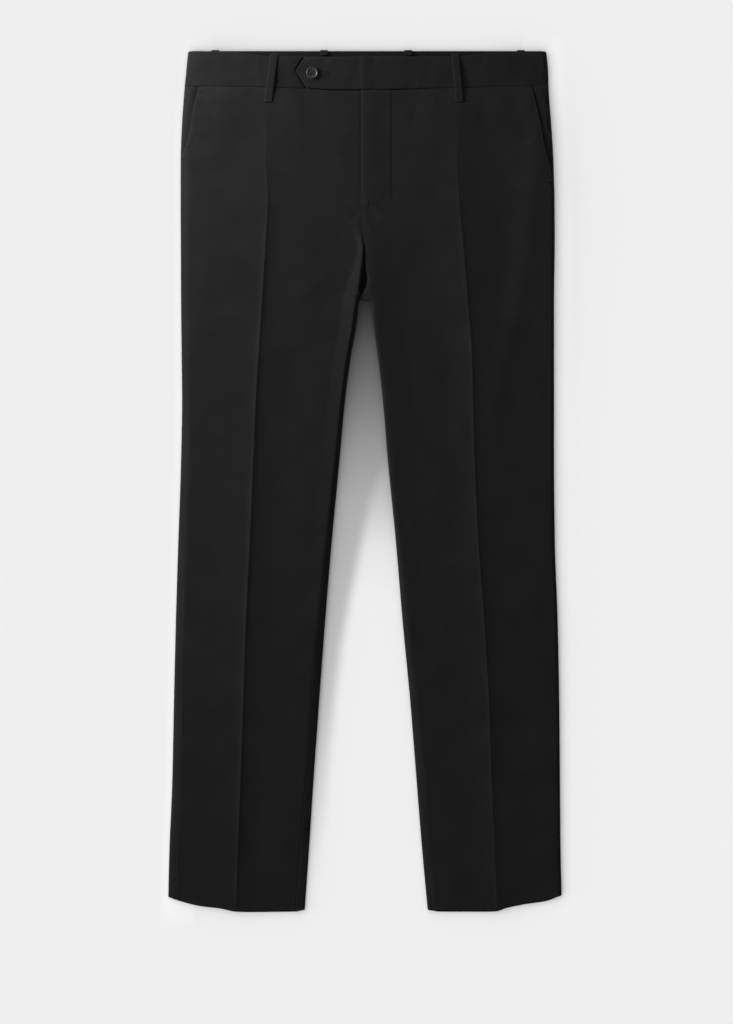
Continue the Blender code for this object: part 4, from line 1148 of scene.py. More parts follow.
def band_height(side, share, u):
    """The height of the waistband's outer face. The left half lies over the right at the middle."""
    y = WAIST_SEAM_SIDE_Y + share * BAND_DEPTH
    outer = at(side["outline"], "outer", y)
    knots = side["band"]
    height = curve([*knots["u"], outer], [*knots["height"], 2.0 * BAND_RADIUS], u)
    end = tab_end_x(share)
    if side["sign"] < 0:
        height = height - TAB_GROOVE * hump(u + end, TAB_GROOVE_HALF)
    else:
        height = height - TAB_ROLL * np.exp(-np.clip(u - end, 0.0, None) / TAB_ROLL_WIDTH)
        height = height - TAB_STITCH_GROOVE * hump(u - end - TAB_STITCH_AT, TAB_STITCH_HALF)
    inside = 1.0 - fade_between(u, outer - BAND_WAVES_FROM_EDGE, outer)
    x = side["sign"] * u
    return height + BAND_WAVES_HEIGHT * inside * BAND_WAVES.at(x, y) + crease_heights(x, y)


def tab_end_x(share):
    """The pointed end of the left half, by the share of the band's depth."""
    return float(np.interp(share, TAB_END["share"], TAB_END["x"]))


def top_edge_y(u):
    """The front's top edge dips in the middle, so the back's inside shows over it."""
    share = fade_between(np.abs(u), *TOP_EDGE_DIP_U)
    return TOP_EDGE_FRONT_Y + (TOP_EDGE_SIDE_Y - TOP_EDGE_FRONT_Y) * share


def band_edges(side, u, turned):
    """The y of the waistband's two edges. turned runs from 0 on the front to 1 on the back."""
    lower = waist_seam_y(u)
    upper = top_edge_y(u)
    if side["sign"] > 0:
        on_tab = u < FLY_EDGE_X
        lower = np.where(on_tab, np.interp(u, TAB_EDGES["x"], TAB_EDGES["lower"]), lower)
        upper = np.where(on_tab, np.interp(u, TAB_EDGES["x"], TAB_EDGES["upper"]), upper)
    lower = lower + turned * (WAIST_SEAM_SIDE_Y - lower)
    upper = upper + turned * (TOP_EDGE_BACK_Y - upper)
    return lower, upper


# The rows of a waistband as shares of its depth.
BAND_SHARES = (0.0, 0.012, 0.026, *np.linspace(0.06, 0.94, 23), 0.974, 0.988, 1.0)
BAND_DEPTH = TOP_EDGE_BACK_Y - WAIST_SEAM_SIDE_Y
# The first knots of a band's columns, and the steps between its knots, but for the middle ones.
BAND_FIRST = (0.0, 0.1, 0.2, 0.9)
BAND_FIRST_STEPS = (1, 1, 2)
BAND_LAST_STEPS = (6, 6, 6, 60, 1, 1)
# Where the columns of the left half change their spacing.
BAND_MIDDLE_LEFT = 30.0
BAND_BY_SIDE = 12.0


@wall_grids
def band(side):
    """Half of the waistband, from its end in front, round the side, to the seam at the back."""
    quarter = np.pi / 2.0 * BAND_RADIUS
    for share in BAND_SHARES:
        y = WAIST_SEAM_SIDE_Y + share * BAND_DEPTH
        start = -BAND_UNDERLAP_X if side["sign"] < 0 else tab_end_x(share)
        points, over = loop(
            lambda u: band_height(side, share, u),
            lambda u: 0.0,
            start,
            None,
            (at(side["outline"], "outer", y), BAND_RADIUS, BAND_RADIUS),
            side["sign"] * BACK_SEAM_X - BAND_SEAM_LAP,
            floor_height(y),
        )
        section = Section(points, over, closed=False)
        around = section.around
        middle = section.distance_at(0.0 if side["sign"] < 0 else BAND_MIDDLE_LEFT)
        knots = [*BAND_FIRST, middle, over - BAND_BY_SIDE, over - quarter, over]
        knots += [over + quarter] + reaching(around)
        places = refined(knots, (*BAND_FIRST_STEPS, *side["band_steps"], *BAND_LAST_STEPS))
        turned = smooth((places - over) / (2.0 * BAND_RADIUS))
        lower, upper = band_edges(side, section.point(places)[:, 0], turned)
        true_y = lower + share * (upper - lower)
        from_seam, from_top = share * BAND_DEPTH, (1.0 - share) * BAND_DEPTH
        from_edge = min(from_seam, from_top)
        dips = (
            edge_depth(around - places),
            edge_depth(from_edge),
            edge_depth(CRISP * places) / CRISP,
            edge_depth(from_top, BAND_TOP_ROLL, BAND_TOP_DIP),
            edge_depth(from_seam, BAND_SEAM_ROLL, BAND_SEAM_DIP),
        )
        dip = np.maximum.reduce(np.broadcast_arrays(*dips))
        curl = BAND_BACK_CURL * fade_between(share, BAND_BACK_CURL_FROM, 1.0)
        curl = curl * fade_between(turned, 0.5, 1.0)
        depths = (dip, BAND_WALL - edge_depth(from_top))
        faces = [section.point(places, depth) for depth in depths]
        outer, inner = [row(side["sign"] * face[:, 0], true_y, face[:, 1] + curl) for face in faces]
        worn = worn_by(places, around - places, from_edge)
        yield outer, inner, row(start + places, true_y, worn)


class Surface:
    """The heights of some pieces' faces, looked up from above."""

    def __init__(self, pieces):
        graph = bpy.context.evaluated_depsgraph_get()
        self.trees = [BVHTree.FromObject(piece, graph) for piece in pieces]

    def height(self, x, y):
        """The highest point at (x, y)."""
        best = 0.0
        for tree in self.trees:
            hit = tree.ray_cast(Vector((x * MM, y * MM, 1.0)), Vector((0.0, 0.0, -1.0)))[0]
            if hit:
                best = max(best, hit.z / MM)
        return best


LOOP_CLEAR = 0.12
LOOP_ACROSS = (0.0, 0.25, 0.7, 1.4, 2.8, 4.8, 6.8, 8.2, 8.9, 9.35, 9.6)
LOOP_CREST = 0.12
LOOP_STEP = 0.8
LOOP_ENDS = (0.3, 0.8)
HOOK_POINTS = 13
# How far in from the top edge the band's height is taken, and the points down a loop.
BAND_TOP_AT = 2.0
FRONT_LOOP_POINTS = 19
FRONT_LOOP_ACROSS = 5
BACK_LOOP_POINTS = 12
BACK_LOOP_START_Y = 524.0


@wall_grids
def strip(path, x_at):
    """A belt loop's strip of cloth, along a path of (y, z) points through its middle."""
    path = np.array(path, float)
    length = lengths_along(path)
    total = length[-1]
    near, next_to = LOOP_ENDS
    between = np.linspace(next_to, total - next_to, int(total / LOOP_STEP))
    places = np.concatenate([[0.0, near], between, [total - near, total]])
    fine = row(*[curve(length, path[:, k], places) for k in (0, 1)])
    along = np.gradient(fine, places, axis=0)
    along /= np.linalg.norm(along, axis=1)[:, None]
    away = row(-along[:, 1], along[:, 0])
    if away[len(away) // 2, 1] < 0.0:
        away = -away
    across = np.array(LOOP_ACROSS)
    from_side = np.minimum(across, LOOP_WIDTH - across)
    crest = LOOP_CREST * np.sin(np.pi * across / LOOP_WIDTH)
    for place, (y, z), (away_y, away_z) in zip(places, fine, away):
        from_end = min(place, total - place)
        dip = np.maximum(edge_depth(from_side), edge_depth(from_end))
        x = x_at(y) + across - LOOP_WIDTH / 2.0
        depths = (LOOP_WALL / 2.0 - dip + crest, -LOOP_WALL / 2.0 + dip)
        outer, inner = [row(x, y + depth * away_y, z + depth * away_z) for depth in depths]
        yield outer, inner, row(across, place, worn_by(from_side, from_end))


def hook(edge_y, inside_z, outside_z, bend_out=LOOP_BEND):
    """The path of a belt loop's end: over an edge of cloth from its inside to its outside."""
    clear = LOOP_CLEAR + LOOP_WALL / 2.0
    middle = (inside_z + outside_z) / 2.0
    tall = (outside_z - inside_z) / 2.0 + np.copysign(clear, outside_z - inside_z)
    turn = np.radians(np.linspace(-90.0, 90.0, HOOK_POINTS))
    bend = [(edge_y + bend_out * np.cos(a), middle + tall * np.sin(a)) for a in turn]
    return [(edge_y - LOOP_HOOK, bend[0][1])] + bend


def slanted(top_x, end_x):
    """A front belt loop's x at any y."""

    def x_at(y):
        return end_x + (top_x - end_x) * (y - LOOP_END_Y) / (TOP_EDGE_FRONT_Y - LOOP_END_Y)

    return x_at


def front_loop(surface, x_at):
    """From inside the top edge, over it, down the band with room for a belt, on to the front."""
    edge_y = float(top_edge_y(abs(x_at(TOP_EDGE_FRONT_Y)) + LOOP_WIDTH))
    inside_y = edge_y - BAND_TOP_AT
    band_top = surface.height(x_at(inside_y), inside_y)
    path = hook(edge_y, band_top - BAND_WALL, band_top)
    across = np.linspace(-0.5, 0.5, FRONT_LOOP_ACROSS) * LOOP_WIDTH
    for y in np.linspace(LOOP_START_Y, LOOP_END_Y, FRONT_LOOP_POINTS):
        under = max(surface.height(x_at(y) + away, y) for away in across)
        share = (LOOP_START_Y - y) / (LOOP_START_Y - LOOP_END_Y)
        arch = LOOP_ARCH * np.sin(np.pi * share) ** 2
        path.append((y, under + LOOP_CLEAR + LOOP_WALL / 2.0 + arch))
    return strip(path, x_at)


def back_loop(x):
    """Flat under the waist, then up and over the back's top edge."""
    inside_z = LOOP_LIFT + BAND_BACK_CURL + BAND_WALL
    path = hook(TOP_EDGE_BACK_Y, inside_z, LOOP_LIFT + BAND_BACK_CURL, BACK_LOOP_BEND)
    down = np.linspace(BACK_LOOP_START_Y, LOOP_END_Y, BACK_LOOP_POINTS)
    path += [(y, LOOP_WALL / 2.0) for y in down]
    return strip(path, lambda y: x)


BUTTON_AT = (-65.7, 507.9)
BUTTON_CLEAR = 0.25
# The button's section from the middle of the underside, round the rim, to the middle of the top,
# as (radius, height) points, and a hole's from below.
BUTTON_PROFILE = (
    *((0.0, 0.0), (5.6, 0.0), (6.5, 0.12), (7.1, 0.45), (7.42, 0.95), (7.5, 1.5), (7.4, 2.0)),
    *((7.12, 2.38), (6.7, 2.58), (6.2, 2.6), (5.75, 2.45), (5.4, 2.12), (5.1, 1.82), (4.7, 1.68)),
    *((4.0, 1.66), (0.0, 1.7)),
)
BUTTON_HOLE = ((0.95, -1.0), (0.95, 1.25), (1.1, 1.5), (1.45, 1.85), (1.45, 4.0))
BUTTON_STEPS = 96
BUTTON_HOLE_STEPS = 24
BUTTON_HOLE_AT = 1.6


def spun(name, profile, steps, middle=(0.0, 0.0, 0.0)):
    """A body turned from (radius, height) points; the first and the last may lie on the axis."""
    turn = np.linspace(0.0, 2.0 * np.pi, steps, endpoint=False)
    points, rings = [], []
    for radius, z in profile:
        if radius == 0.0:
            rings.append([len(points)] * steps)
            points.append((0.0, 0.0, z))
        else:
            rings.append(list(range(len(points), len(points) + steps)))
            points += [(radius * np.cos(a), radius * np.sin(a), z) for a in turn]
    faces = []
    for low_ring, high_ring in zip(rings, rings[1:]):
        for k in range(steps):
            n = (k + 1) % steps
            corners = [low_ring[k], low_ring[n], high_ring[n], high_ring[k]]
            faces.append(list(dict.fromkeys(corners)))
    for ring in (rings[0], rings[-1]):
        if len(set(ring)) > 1:
            faces.append(ring[::-1] if ring is rings[0] else ring)
    return new_piece(name, np.array(points) + np.array(middle), faces)


def button(surface):
    """The button with its four holes cut through, and the height that its underside lies at."""
    height = surface.height(*BUTTON_AT) + BUTTON_CLEAR
    disc = spun("button_disc", BUTTON_PROFILE, BUTTON_STEPS, (*BUTTON_AT, height))
    cutters = []
    for x in (-BUTTON_HOLE_AT, BUTTON_HOLE_AT):
        for y in (-BUTTON_HOLE_AT, BUTTON_HOLE_AT):
            place = (BUTTON_AT[0] + x, BUTTON_AT[1] + y, height)
            name = f"cutter_{len(cutters)}"
            cutters.append(spun(name, BUTTON_HOLE, BUTTON_HOLE_STEPS, place))
    for cutter in cutters:
        cut = disc.modifiers.new("hole", "BOOLEAN")
        cut.operation = "DIFFERENCE"
        cut.object = cutter
        cut.solver = "EXACT"
    graph = bpy.context.evaluated_depsgraph_get()
    solid = bpy.data.meshes.new_from_object(disc.evaluated_get(graph))
    disc.modifiers.clear()
    disc.data = solid
    for cutter in cutters:
        bpy.data.objects.remove(cutter)
    disc.data.shade_smooth()
    disc.data.set_sharp_from_angle(angle=np.radians(35.0))
    return disc, height


# Sewing: each stitch is a small round-ended length of thread that dips in at both ends.
THREAD_RADIUS = 0.17
THREAD_SIDES = 6
THREAD_STATIONS = 7
THREAD_LIFT = 0.1
THREAD_END_POWER = 6
THREAD_END_LEAST = 0.02
# How high a stitch's middle line lies over the cloth at its ends, as a share of its radius.
STITCH_HIGH = 0.4
FLY_STITCH_LENGTH = (2.5, 0.5)
EDGE_STITCH_LENGTH = (2.3, 0.5)
POCKET_STITCH_IN = 6.0
# The pocket's stitching runs from this y down to this far above the mouth's lower end.
POCKET_STITCH_TOP_Y = 484.0
POCKET_STITCH_ABOVE = 12.0
POCKET_STITCH_POINTS = 60
# How far past the ends of that stitching its tacks lie.
POCKET_TACK_PAST = (0.5, 1.0)
TACK_DEPTH = 1.9
TACK_RADIUS = 0.16
LOOP_TACK_IN = 1.7
LOOP_TACK_SHORT = 0.8
FLY_TACK_AT = (3.1, 344.5)
FLY_TACK_WIDTH = 7.0
FLY_TACK_TURN = 84.0


def thread(start, end, radius, lift):
    """A stitch from start to end: rings of points round it, thinner at its ends."""
    start, end = np.array(start, float), np.array(end, float)
    along = (end - start) / np.linalg.norm(end - start)
    side = np.cross(along, (0.0, 0.0, 1.0))
    side /= np.linalg.norm(side)
    up = np.cross(side, along)
    t = np.linspace(0.0, 1.0, THREAD_STATIONS)
    thinner = (2.0 * t - 1.0) ** THREAD_END_POWER
    round_end = np.sqrt(np.clip(1.0 - thinner, THREAD_END_LEAST, 1.0))
    middle = start + t[:, None] * (end - start)
    middle[:, 2] += lift * (2.0 * np.sin(np.pi * t) - 1.0)
    turn = np.linspace(0.0, 2.0 * np.pi, THREAD_SIDES, endpoint=False)
    ring = np.cos(turn)[:, None] * side + np.sin(turn)[:, None] * up
    return middle[:, None, :] + (radius * round_end)[:, None, None] * ring[None]


def sewing(name, stitches):
    """One piece from the rings of its stitches, each closed at both ends."""
    points, faces = [], []
    for rings in stitches:
        first = sum(len(group) for group in points)
        stations, sides = rings.shape[:2]
        points.append(rings.reshape(-1, 3))
        for i in range(stations - 1):
            for j in range(sides):
                n = (j + 1) % sides
                low, high = first + i * sides, first + (i + 1) * sides
                faces.append([low + j, low + n, high + n, high + j])
        faces.append([first + j for j in range(sides)][::-1])
        faces.append([first + (stations - 1) * sides + j for j in range(sides)])
    return new_piece(name, np.concatenate(points), faces, sharp=60.0)


def seam_stitches(surface, path, length, gap, radius=THREAD_RADIUS):
    """Stitches along a path of (x, y) points, on the cloth under them."""
    path = np.array(path, float)
    along = lengths_along(path)
    stitches = []
    place = gap
    while place + length < along[-1]:
        ends = []
        for where in (place, place + length):
            x, y = [float(np.interp(where, along, path[:, k])) for k in (0, 1)]
            ends.append((x, y, surface.height(x, y) + STITCH_HIGH * radius))
        stitches.append(thread(*ends, radius, THREAD_LIFT))
        place += length + gap
    return stitches


def bar_tack(surface, middle, width, turned=0.0):
    """A bar tack: short threads side by side. turned is how far it is turned, in degrees."""
    across = np.array([np.cos(np.radians(turned)), np.sin(np.radians(turned))])
    down = np.array([-across[1], across[0]])
    count = int(width / (2.0 * TACK_RADIUS))
    stitches = []
    for k in range(count):
        place = np.array(middle) + across * width * ((k + 0.5) / count - 0.5)
        ends = []
        for half in (-0.5, 0.5):
            x, y = place + down * half * TACK_DEPTH
            ends.append((x, y, surface.height(float(x), float(y)) + TACK_RADIUS))
        top = max(end[2] for end in ends)
        ends = [(x, y, top) for x, y, _ in ends]
        stitches.append(thread(*ends, TACK_RADIUS, THREAD_LIFT))
    return stitches


# The buttonhole: its eye under the button, its far end, and its stitching.
HOLE_EYE_X = -64.0
HOLE_END_X = -48.2
HOLE_HALF = 1.0
PURL_LENGTH = 1.7
PURL_PITCH = 0.5
PURL_RADIUS = 0.24
PURL_HIGH = 0.5
PURL_FAN = np.radians(np.linspace(-72.0, 72.0, 7))


def purl(near, far, height):
    """A stitch across the buttonhole's edge, from near the slit out to far, over the cloth."""
    z = height + PURL_HIGH * PURL_RADIUS
    return thread((*near, z), (*far, z), PURL_RADIUS, THREAD_LIFT)


def buttonhole(surface):
    """Purl stitches side by side along the slit, and fanned out round its far end."""
    y_mid = BUTTON_AT[1]
    stitches = []
    for x in np.arange(HOLE_EYE_X, HOLE_END_X, PURL_PITCH):
        for way in (-1.0, 1.0):
            near = (x, y_mid + way * HOLE_HALF)
            far = (x, y_mid + way * (HOLE_HALF + PURL_LENGTH))
            stitches.append(purl(near, far, max(surface.height(*near), surface.height(*far))))
    for turn in PURL_FAN:
        way = np.array([np.cos(turn), np.sin(turn)])
        near = np.array([HOLE_END_X, y_mid]) + HOLE_HALF * way
        far = np.array([HOLE_END_X, y_mid]) + (HOLE_HALF + PURL_LENGTH) * way
        stitches.append(purl(near, far, surface.height(*near)))
    return sewing("buttonhole_stitching", stitches)


BUTTON_THREAD_Z = 1.55
BUTTON_THREAD_APART = 0.42
BUTTON_THREAD_PAST = 0.35
BUTTON_THREAD_RADIUS = 0.26
BUTTON_THREAD_LIFT = 0.35


def button_thread(height):
    """Two bars of thread through the button's four holes, three strands in each."""
    half = BUTTON_HOLE_AT + BUTTON_THREAD_PAST
    z = height + BUTTON_THREAD_Z
    stitches = []
    for bar in (-BUTTON_HOLE_AT, BUTTON_HOLE_AT):
        for strand in (-1.0, 0.0, 1.0):
            x = BUTTON_AT[0] + bar + BUTTON_THREAD_APART * strand
            start, end = (x, BUTTON_AT[1] - half, z), (x, BUTTON_AT[1] + half, z)
            stitches.append(thread(start, end, BUTTON_THREAD_RADIUS, BUTTON_THREAD_LIFT))
    return sewing("button_thread", stitches)


def pocket_line(side, inside):
    """(x, y) points down along a pocket's mouth, this far inside its edge."""
    low = side["pocket"]["y"][0] + POCKET_STITCH_ABOVE
    y = np.linspace(low, POCKET_STITCH_TOP_Y, POCKET_STITCH_POINTS)[::-1]
    u = curve(side["pocket"]["y"], side["pocket"]["mouth"], y) - inside
    return row(side["sign"] * u, y)


def grey(value, blue=1.0):
    return (value, value, value * blue, 1.0)


def new_material(name, **sockets):
    """A material, its node tree and its shader, with the shader's sockets set by name."""
    material = bpy.data.materials.new(name)
    material.use_nodes = True
    shader = material.node_tree.nodes["Principled BSDF"]
    for socket, value in sockets.items():
        shader.inputs[socket.replace("_", " ")].default_value = value
    return material, material.node_tree, shader


def feed(tree, shader, **sockets):
    """Links results to a shader's sockets by name."""
    for socket, result in sockets.items():
        tree.links.new(result, shader.inputs[socket.replace("_", " ")])


def node(tree, kind, **values):
    """A shader node, with its own settings and its sockets' values by name."""
    made = tree.nodes.new(kind)
    for name, value in values.items():
        if hasattr(made, name):
            setattr(made, name, value)
        else:
            made.inputs[name.replace("_", " ")].default_value = value
    return made


def maths(tree, operation, *values):
    """The result of a Math node on sockets or plain numbers."""
    made = tree.nodes.new("ShaderNodeMath")
    made.operation = operation
    for socket, value in zip(made.inputs, values):
        if isinstance(value, (int, float)):
            socket.default_value = value
        else:
            tree.links.new(value, socket)
    return made.outputs["Value"]


def noise(tree, vector, scale, detail=3.0):
    made = node(tree, "ShaderNodeTexNoise", Scale=scale, Detail=detail)
    tree.links.new(vector, made.inputs["Vector"])
    return made.outputs["Fac"]


def ramp(tree, factor, shades, blue=1.0):
    """Greys along a factor, from (place, value) pairs."""
    made = tree.nodes.new("ShaderNodeValToRGB")
    elements = made.color_ramp.elements
    while len(elements) < len(shades):
        elements.new(0.5)
    for element, (place, value) in zip(elements, shades):
        element.position = place
        element.color = grey(value, blue)
    tree.links.new(factor, made.inputs["Fac"])
    return made.outputs["Color"]


def bump(tree, height, strength, depth):
    """Normals of a fine form, from its height between 0 and about 1 and its depth in metres."""
    made = node(tree, "ShaderNodeBump", Strength=strength, Distance=depth)
    tree.links.new(height, made.inputs["Height"])
    return made.outputs["Normal"]


def split_vector(tree, vector):
    """The X and the Y of a vector."""
    made = node(tree, "ShaderNodeSeparateXYZ")
    tree.links.new(vector, made.inputs["Vector"])
    return made.outputs["X"], made.outputs["Y"]


# The twill: ribs this far apart at this slope, over warp threads, with loose fibres.
RIB_PITCH = 0.00062
RIB_ANGLE = 63.0
RIB_WOBBLE = 5.0
WARP_PITCH = 0.00031
WARP_SHARE = 0.14
FIBRE_HEIGHT = 0.6
WEAVE_DEPTH = 0.00007
WEAVE_STRENGTH = 0.5
# Noises over the cloth, as (scale, detail).
WOBBLE = (420.0, 3.0)
FIBRES = (2600.0, 2.0)
PATCHES = (26.0, 4.0)
# The dye's greys by tone, which is a share of fibres and a share of patches.
CLOTH_SHADES = ((0.3, 0.0035), (0.7, 0.0049))
CLOTH_WORN = 0.0058
BLACK_BLUE = 1.03
FIBRE_TONE = 0.35
PATCH_TONE = 0.65
# How much of the worn colour shows, from the wobble's share on.
WORN_SHARE = (0.6, 0.1)
CLOTH_ROUGHNESS = 0.9
PATCH_ROUGHNESS = -0.1
WORN_ROUGHNESS = -0.25
# A Mix node names its sockets alike for every kind of value, so its colours go by number.
MIX_FACTOR = 0
MIX_A = 6
MIX_B = 7
MIX_RESULT = 2


def cloth_material():
    """Black twill: diagonal ribs, warp threads, fibres, uneven dye, and smoother worn edges."""
    material, tree, shader = new_material(
        "black_cloth", Specular_IOR_Level=0.045, Sheen_Weight=0.02, Sheen_Roughness=0.45
    )
    flat = node(tree, "ShaderNodeUVMap", uv_map="cloth").outputs["UV"]
    across, along = split_vector(tree, flat)
    wobble, fibres, patches = [noise(tree, flat, *values) for values in (WOBBLE, FIBRES, PATCHES)]
    slope = np.radians(RIB_ANGLE)
    turn = 2.0 * np.pi
    ribs = maths(tree, "MULTIPLY", across, float(turn * np.sin(slope) / RIB_PITCH))
    ribs = maths(tree, "MULTIPLY_ADD", along, float(-turn * np.cos(slope) / RIB_PITCH), ribs)
    ribs = maths(tree, "MULTIPLY_ADD", wobble, RIB_WOBBLE, ribs)
    ribs = maths(tree, "MULTIPLY_ADD", maths(tree, "SINE", ribs), 0.5, 0.5)
    warp = maths(tree, "SINE", maths(tree, "MULTIPLY", across, float(turn / WARP_PITCH)))
    warp = maths(tree, "MULTIPLY_ADD", warp, WARP_SHARE, 1.0 - WARP_SHARE)
    height = maths(tree, "MULTIPLY", ribs, warp)
    height = maths(tree, "MULTIPLY_ADD", fibres, FIBRE_HEIGHT, height)
    tone = maths(tree, "MULTIPLY", patches, PATCH_TONE)
    tone = maths(tree, "MULTIPLY_ADD", fibres, FIBRE_TONE, tone)
    worn = node(tree, "ShaderNodeAttribute", attribute_name="worn").outputs["Fac"]
    worn = maths(tree, "MULTIPLY", worn, maths(tree, "MULTIPLY_ADD", wobble, *WORN_SHARE))
    mix = node(tree, "ShaderNodeMix", data_type="RGBA")
    tree.links.new(worn, mix.inputs[MIX_FACTOR])
    tree.links.new(ramp(tree, tone, CLOTH_SHADES, BLACK_BLUE), mix.inputs[MIX_A])
    mix.inputs[MIX_B].default_value = grey(CLOTH_WORN, BLACK_BLUE)
    roughness = maths(tree, "MULTIPLY_ADD", patches, PATCH_ROUGHNESS, CLOTH_ROUGHNESS)
    roughness = maths(tree, "MULTIPLY_ADD", worn, WORN_ROUGHNESS, roughness)
    normal = bump(tree, height, WEAVE_STRENGTH, WEAVE_DEPTH)
    feed(tree, shader, Base_Color=mix.outputs[MIX_RESULT], Roughness=roughness, Normal=normal)
    return material


TWIST_SCALE = 900.0
TWIST_UNEVEN = 2.0
TWIST_DEPTH = 0.00005
TWIST_STRENGTH = 0.6
TWIST_ROUGHNESS = 0.12
THREAD_ROUGHNESS = 0.55
THREAD_NOISE = 700.0
THREAD_SHADES = ((0.3, 0.0034), (0.7, 0.0048))


def thread_material():
    """Black sewing thread: two plies twisted round each other, a little glossier than the cloth."""
    material, tree, shader = new_material("black_thread", Specular_IOR_Level=0.07)
    place = node(tree, "ShaderNodeTexCoord").outputs["Object"]
    plies = node(tree, "ShaderNodeTexWave", Scale=TWIST_SCALE, Distortion=TWIST_UNEVEN)
    plies.bands_direction = "DIAGONAL"
    tree.links.new(place, plies.inputs["Vector"])
    twist = plies.outputs["Fac"]
    dyed = ramp(tree, noise(tree, place, THREAD_NOISE), THREAD_SHADES, BLACK_BLUE)
    roughness = maths(tree, "MULTIPLY_ADD", twist, TWIST_ROUGHNESS, THREAD_ROUGHNESS)
    normal = bump(tree, twist, TWIST_STRENGTH, TWIST_DEPTH)
    feed(tree, shader, Base_Color=dyed, Roughness=roughness, Normal=normal)
    return material


# Noises over the button, as (scale, detail), and its greys by the clouds.
CLOUDS = (260.0, 5.0)
TURNING_MARKS = (4200.0, 2.0)
BUTTON_SHADES = ((0.32, 0.0052), (0.55, 0.0075), (0.72, 0.0105))
BUTTON_ROUGHNESS = 0.35
MARKS_ROUGHNESS = 0.14
MARKS_STRENGTH = 0.25
MARKS_DEPTH = 0.00004


def button_material():
    """Dark polished horn or resin: faint clouds, and fine marks that are rougher."""
    material, tree, shader = new_material("button", Specular_IOR_Level=0.16)
    place = node(tree, "ShaderNodeTexCoord").outputs["Object"]
    marks = noise(tree, place, *TURNING_MARKS)
    colour = ramp(tree, noise(tree, place, *CLOUDS), BUTTON_SHADES)
    roughness = maths(tree, "MULTIPLY_ADD", marks, MARKS_ROUGHNESS, BUTTON_ROUGHNESS)
    normal = bump(tree, marks, MARKS_STRENGTH, MARKS_DEPTH)
    feed(tree, shader, Base_Color=colour, Roughness=roughness, Normal=normal)
    return material


# A painted shadow on the floor between the legs, from the crotch down: how dark the floor's colour
# is made, as a share of it, beside the wearer's right leg and beside the left one, and where one
# passes into the other.
FLOOR_PAINTED_SHADOW = table(
    "y right left edge",
    (420, 1, 1, 60), (300, 0.06, 0.06, 60), (218.8, 0.065, 0.065, 50), (200, 0.082, 0.082, 50),
    (181, 0.11, 0.11, 50), (162.5, 0.143, 0.143, 50), (131, 0.19, 0.19, 45),
    (100, 0.248, 0.248, 40), (68.8, 0.317, 0.317, 36), (37.5, 0.383, 0.39, 30),
    (6.2, 0.44, 0.54, 18), (-25, 0.5, 0.65, 7), (-56, 0.53, 0.79, 0), (-87.5, 0.55, 0.93, -6),
    (-150, 0.59, 1, -19), (-212.5, 0.63, 1, -30), (-275, 0.68, 1, -37.5), (-337.5, 0.76, 1, -44),
    (-400, 0.85, 1, -49), (-500, 1, 1, -60),
)
FLOOR_PAINTED_SHADOW_BLUR = 20.0
FLOOR_PAINTED_SHADOW_HALF = (100.0, 140.0)
# Painted light beside the garment: the floor's colour is made lighter there, against the garment's
# own shadow. How much lighter it is there.
FLOOR_PAINTED_LIGHT = table(
    "y right left",
    (560, 0, 0), (525, 0.09, 0.11), (400, 0.1, 0.13), (290, 0.1, 0.17), (160, 0.1, 0.1),
    (0, 0.1, 0.05), (-200, 0.1, 0.035), (-520, 0.1, 0.03), (-560, 0, 0),
)
FLOOR_PAINTED_LIGHT_FADE = {"right": (1.0, 12.0), "left": (9.0, 28.0)}
FLOOR_PAINTED_LIGHT_FROM = -30.0
FLOOR_COLOUR = 0.85
FLOOR_Z = -0.05
FLOOR_FAR = 20000.0
# The floor's grid near the garment, as (half, step).
FLOOR_GRID_X = (300.0, 4.0)
FLOOR_GRID_Y = (570.0, 6.0)


def floor_lines(half, step):
    """The places of a grid's lines, with one far out at each end."""
    near = np.arange(-half, half + 0.1, step)
    return np.concatenate([[-FLOOR_FAR], near, [FLOOR_FAR]])


def floor_painted_light_and_shadow(x, y):
    """The floor's colour on a grid of points, as a share of it: darkened by a painted shadow
    between the legs and lightened by painted light beside them.
    """
    # Painted shadow: the floor's colour is darkened between the legs.
    sides = ("right", "left", "edge")
    right, left, edge = [np.interp(y, FLOOR_PAINTED_SHADOW["y"], FLOOR_PAINTED_SHADOW[name]) for name in sides]
    passed = fade_between(x, edge - FLOOR_PAINTED_SHADOW_BLUR / 2.0, edge + FLOOR_PAINTED_SHADOW_BLUR / 2.0)
    shade = right + (left - right) * passed
    shade = shade + (1.0 - shade) * fade_between(np.abs(x), *FLOOR_PAINTED_SHADOW_HALF)
    outline_y = np.clip(y[:, 0], HEM_Y, TOP_EDGE_BACK_Y)
    # Painted light: the floor's colour is lightened beside each leg, against the garment's shadow.
    for name, side in SIDES.items():
        painted_light = np.interp(y, FLOOR_PAINTED_LIGHT["y"], FLOOR_PAINTED_LIGHT[name])
        outer = np.array([[at(side["outline"], "outer", line_y)] for line_y in outline_y])
        away = side["sign"] * x - outer
        near = (away > FLOOR_PAINTED_LIGHT_FROM) * (1.0 - fade_between(away, *FLOOR_PAINTED_LIGHT_FADE[name]))
        shade = shade + painted_light * near
    return shade


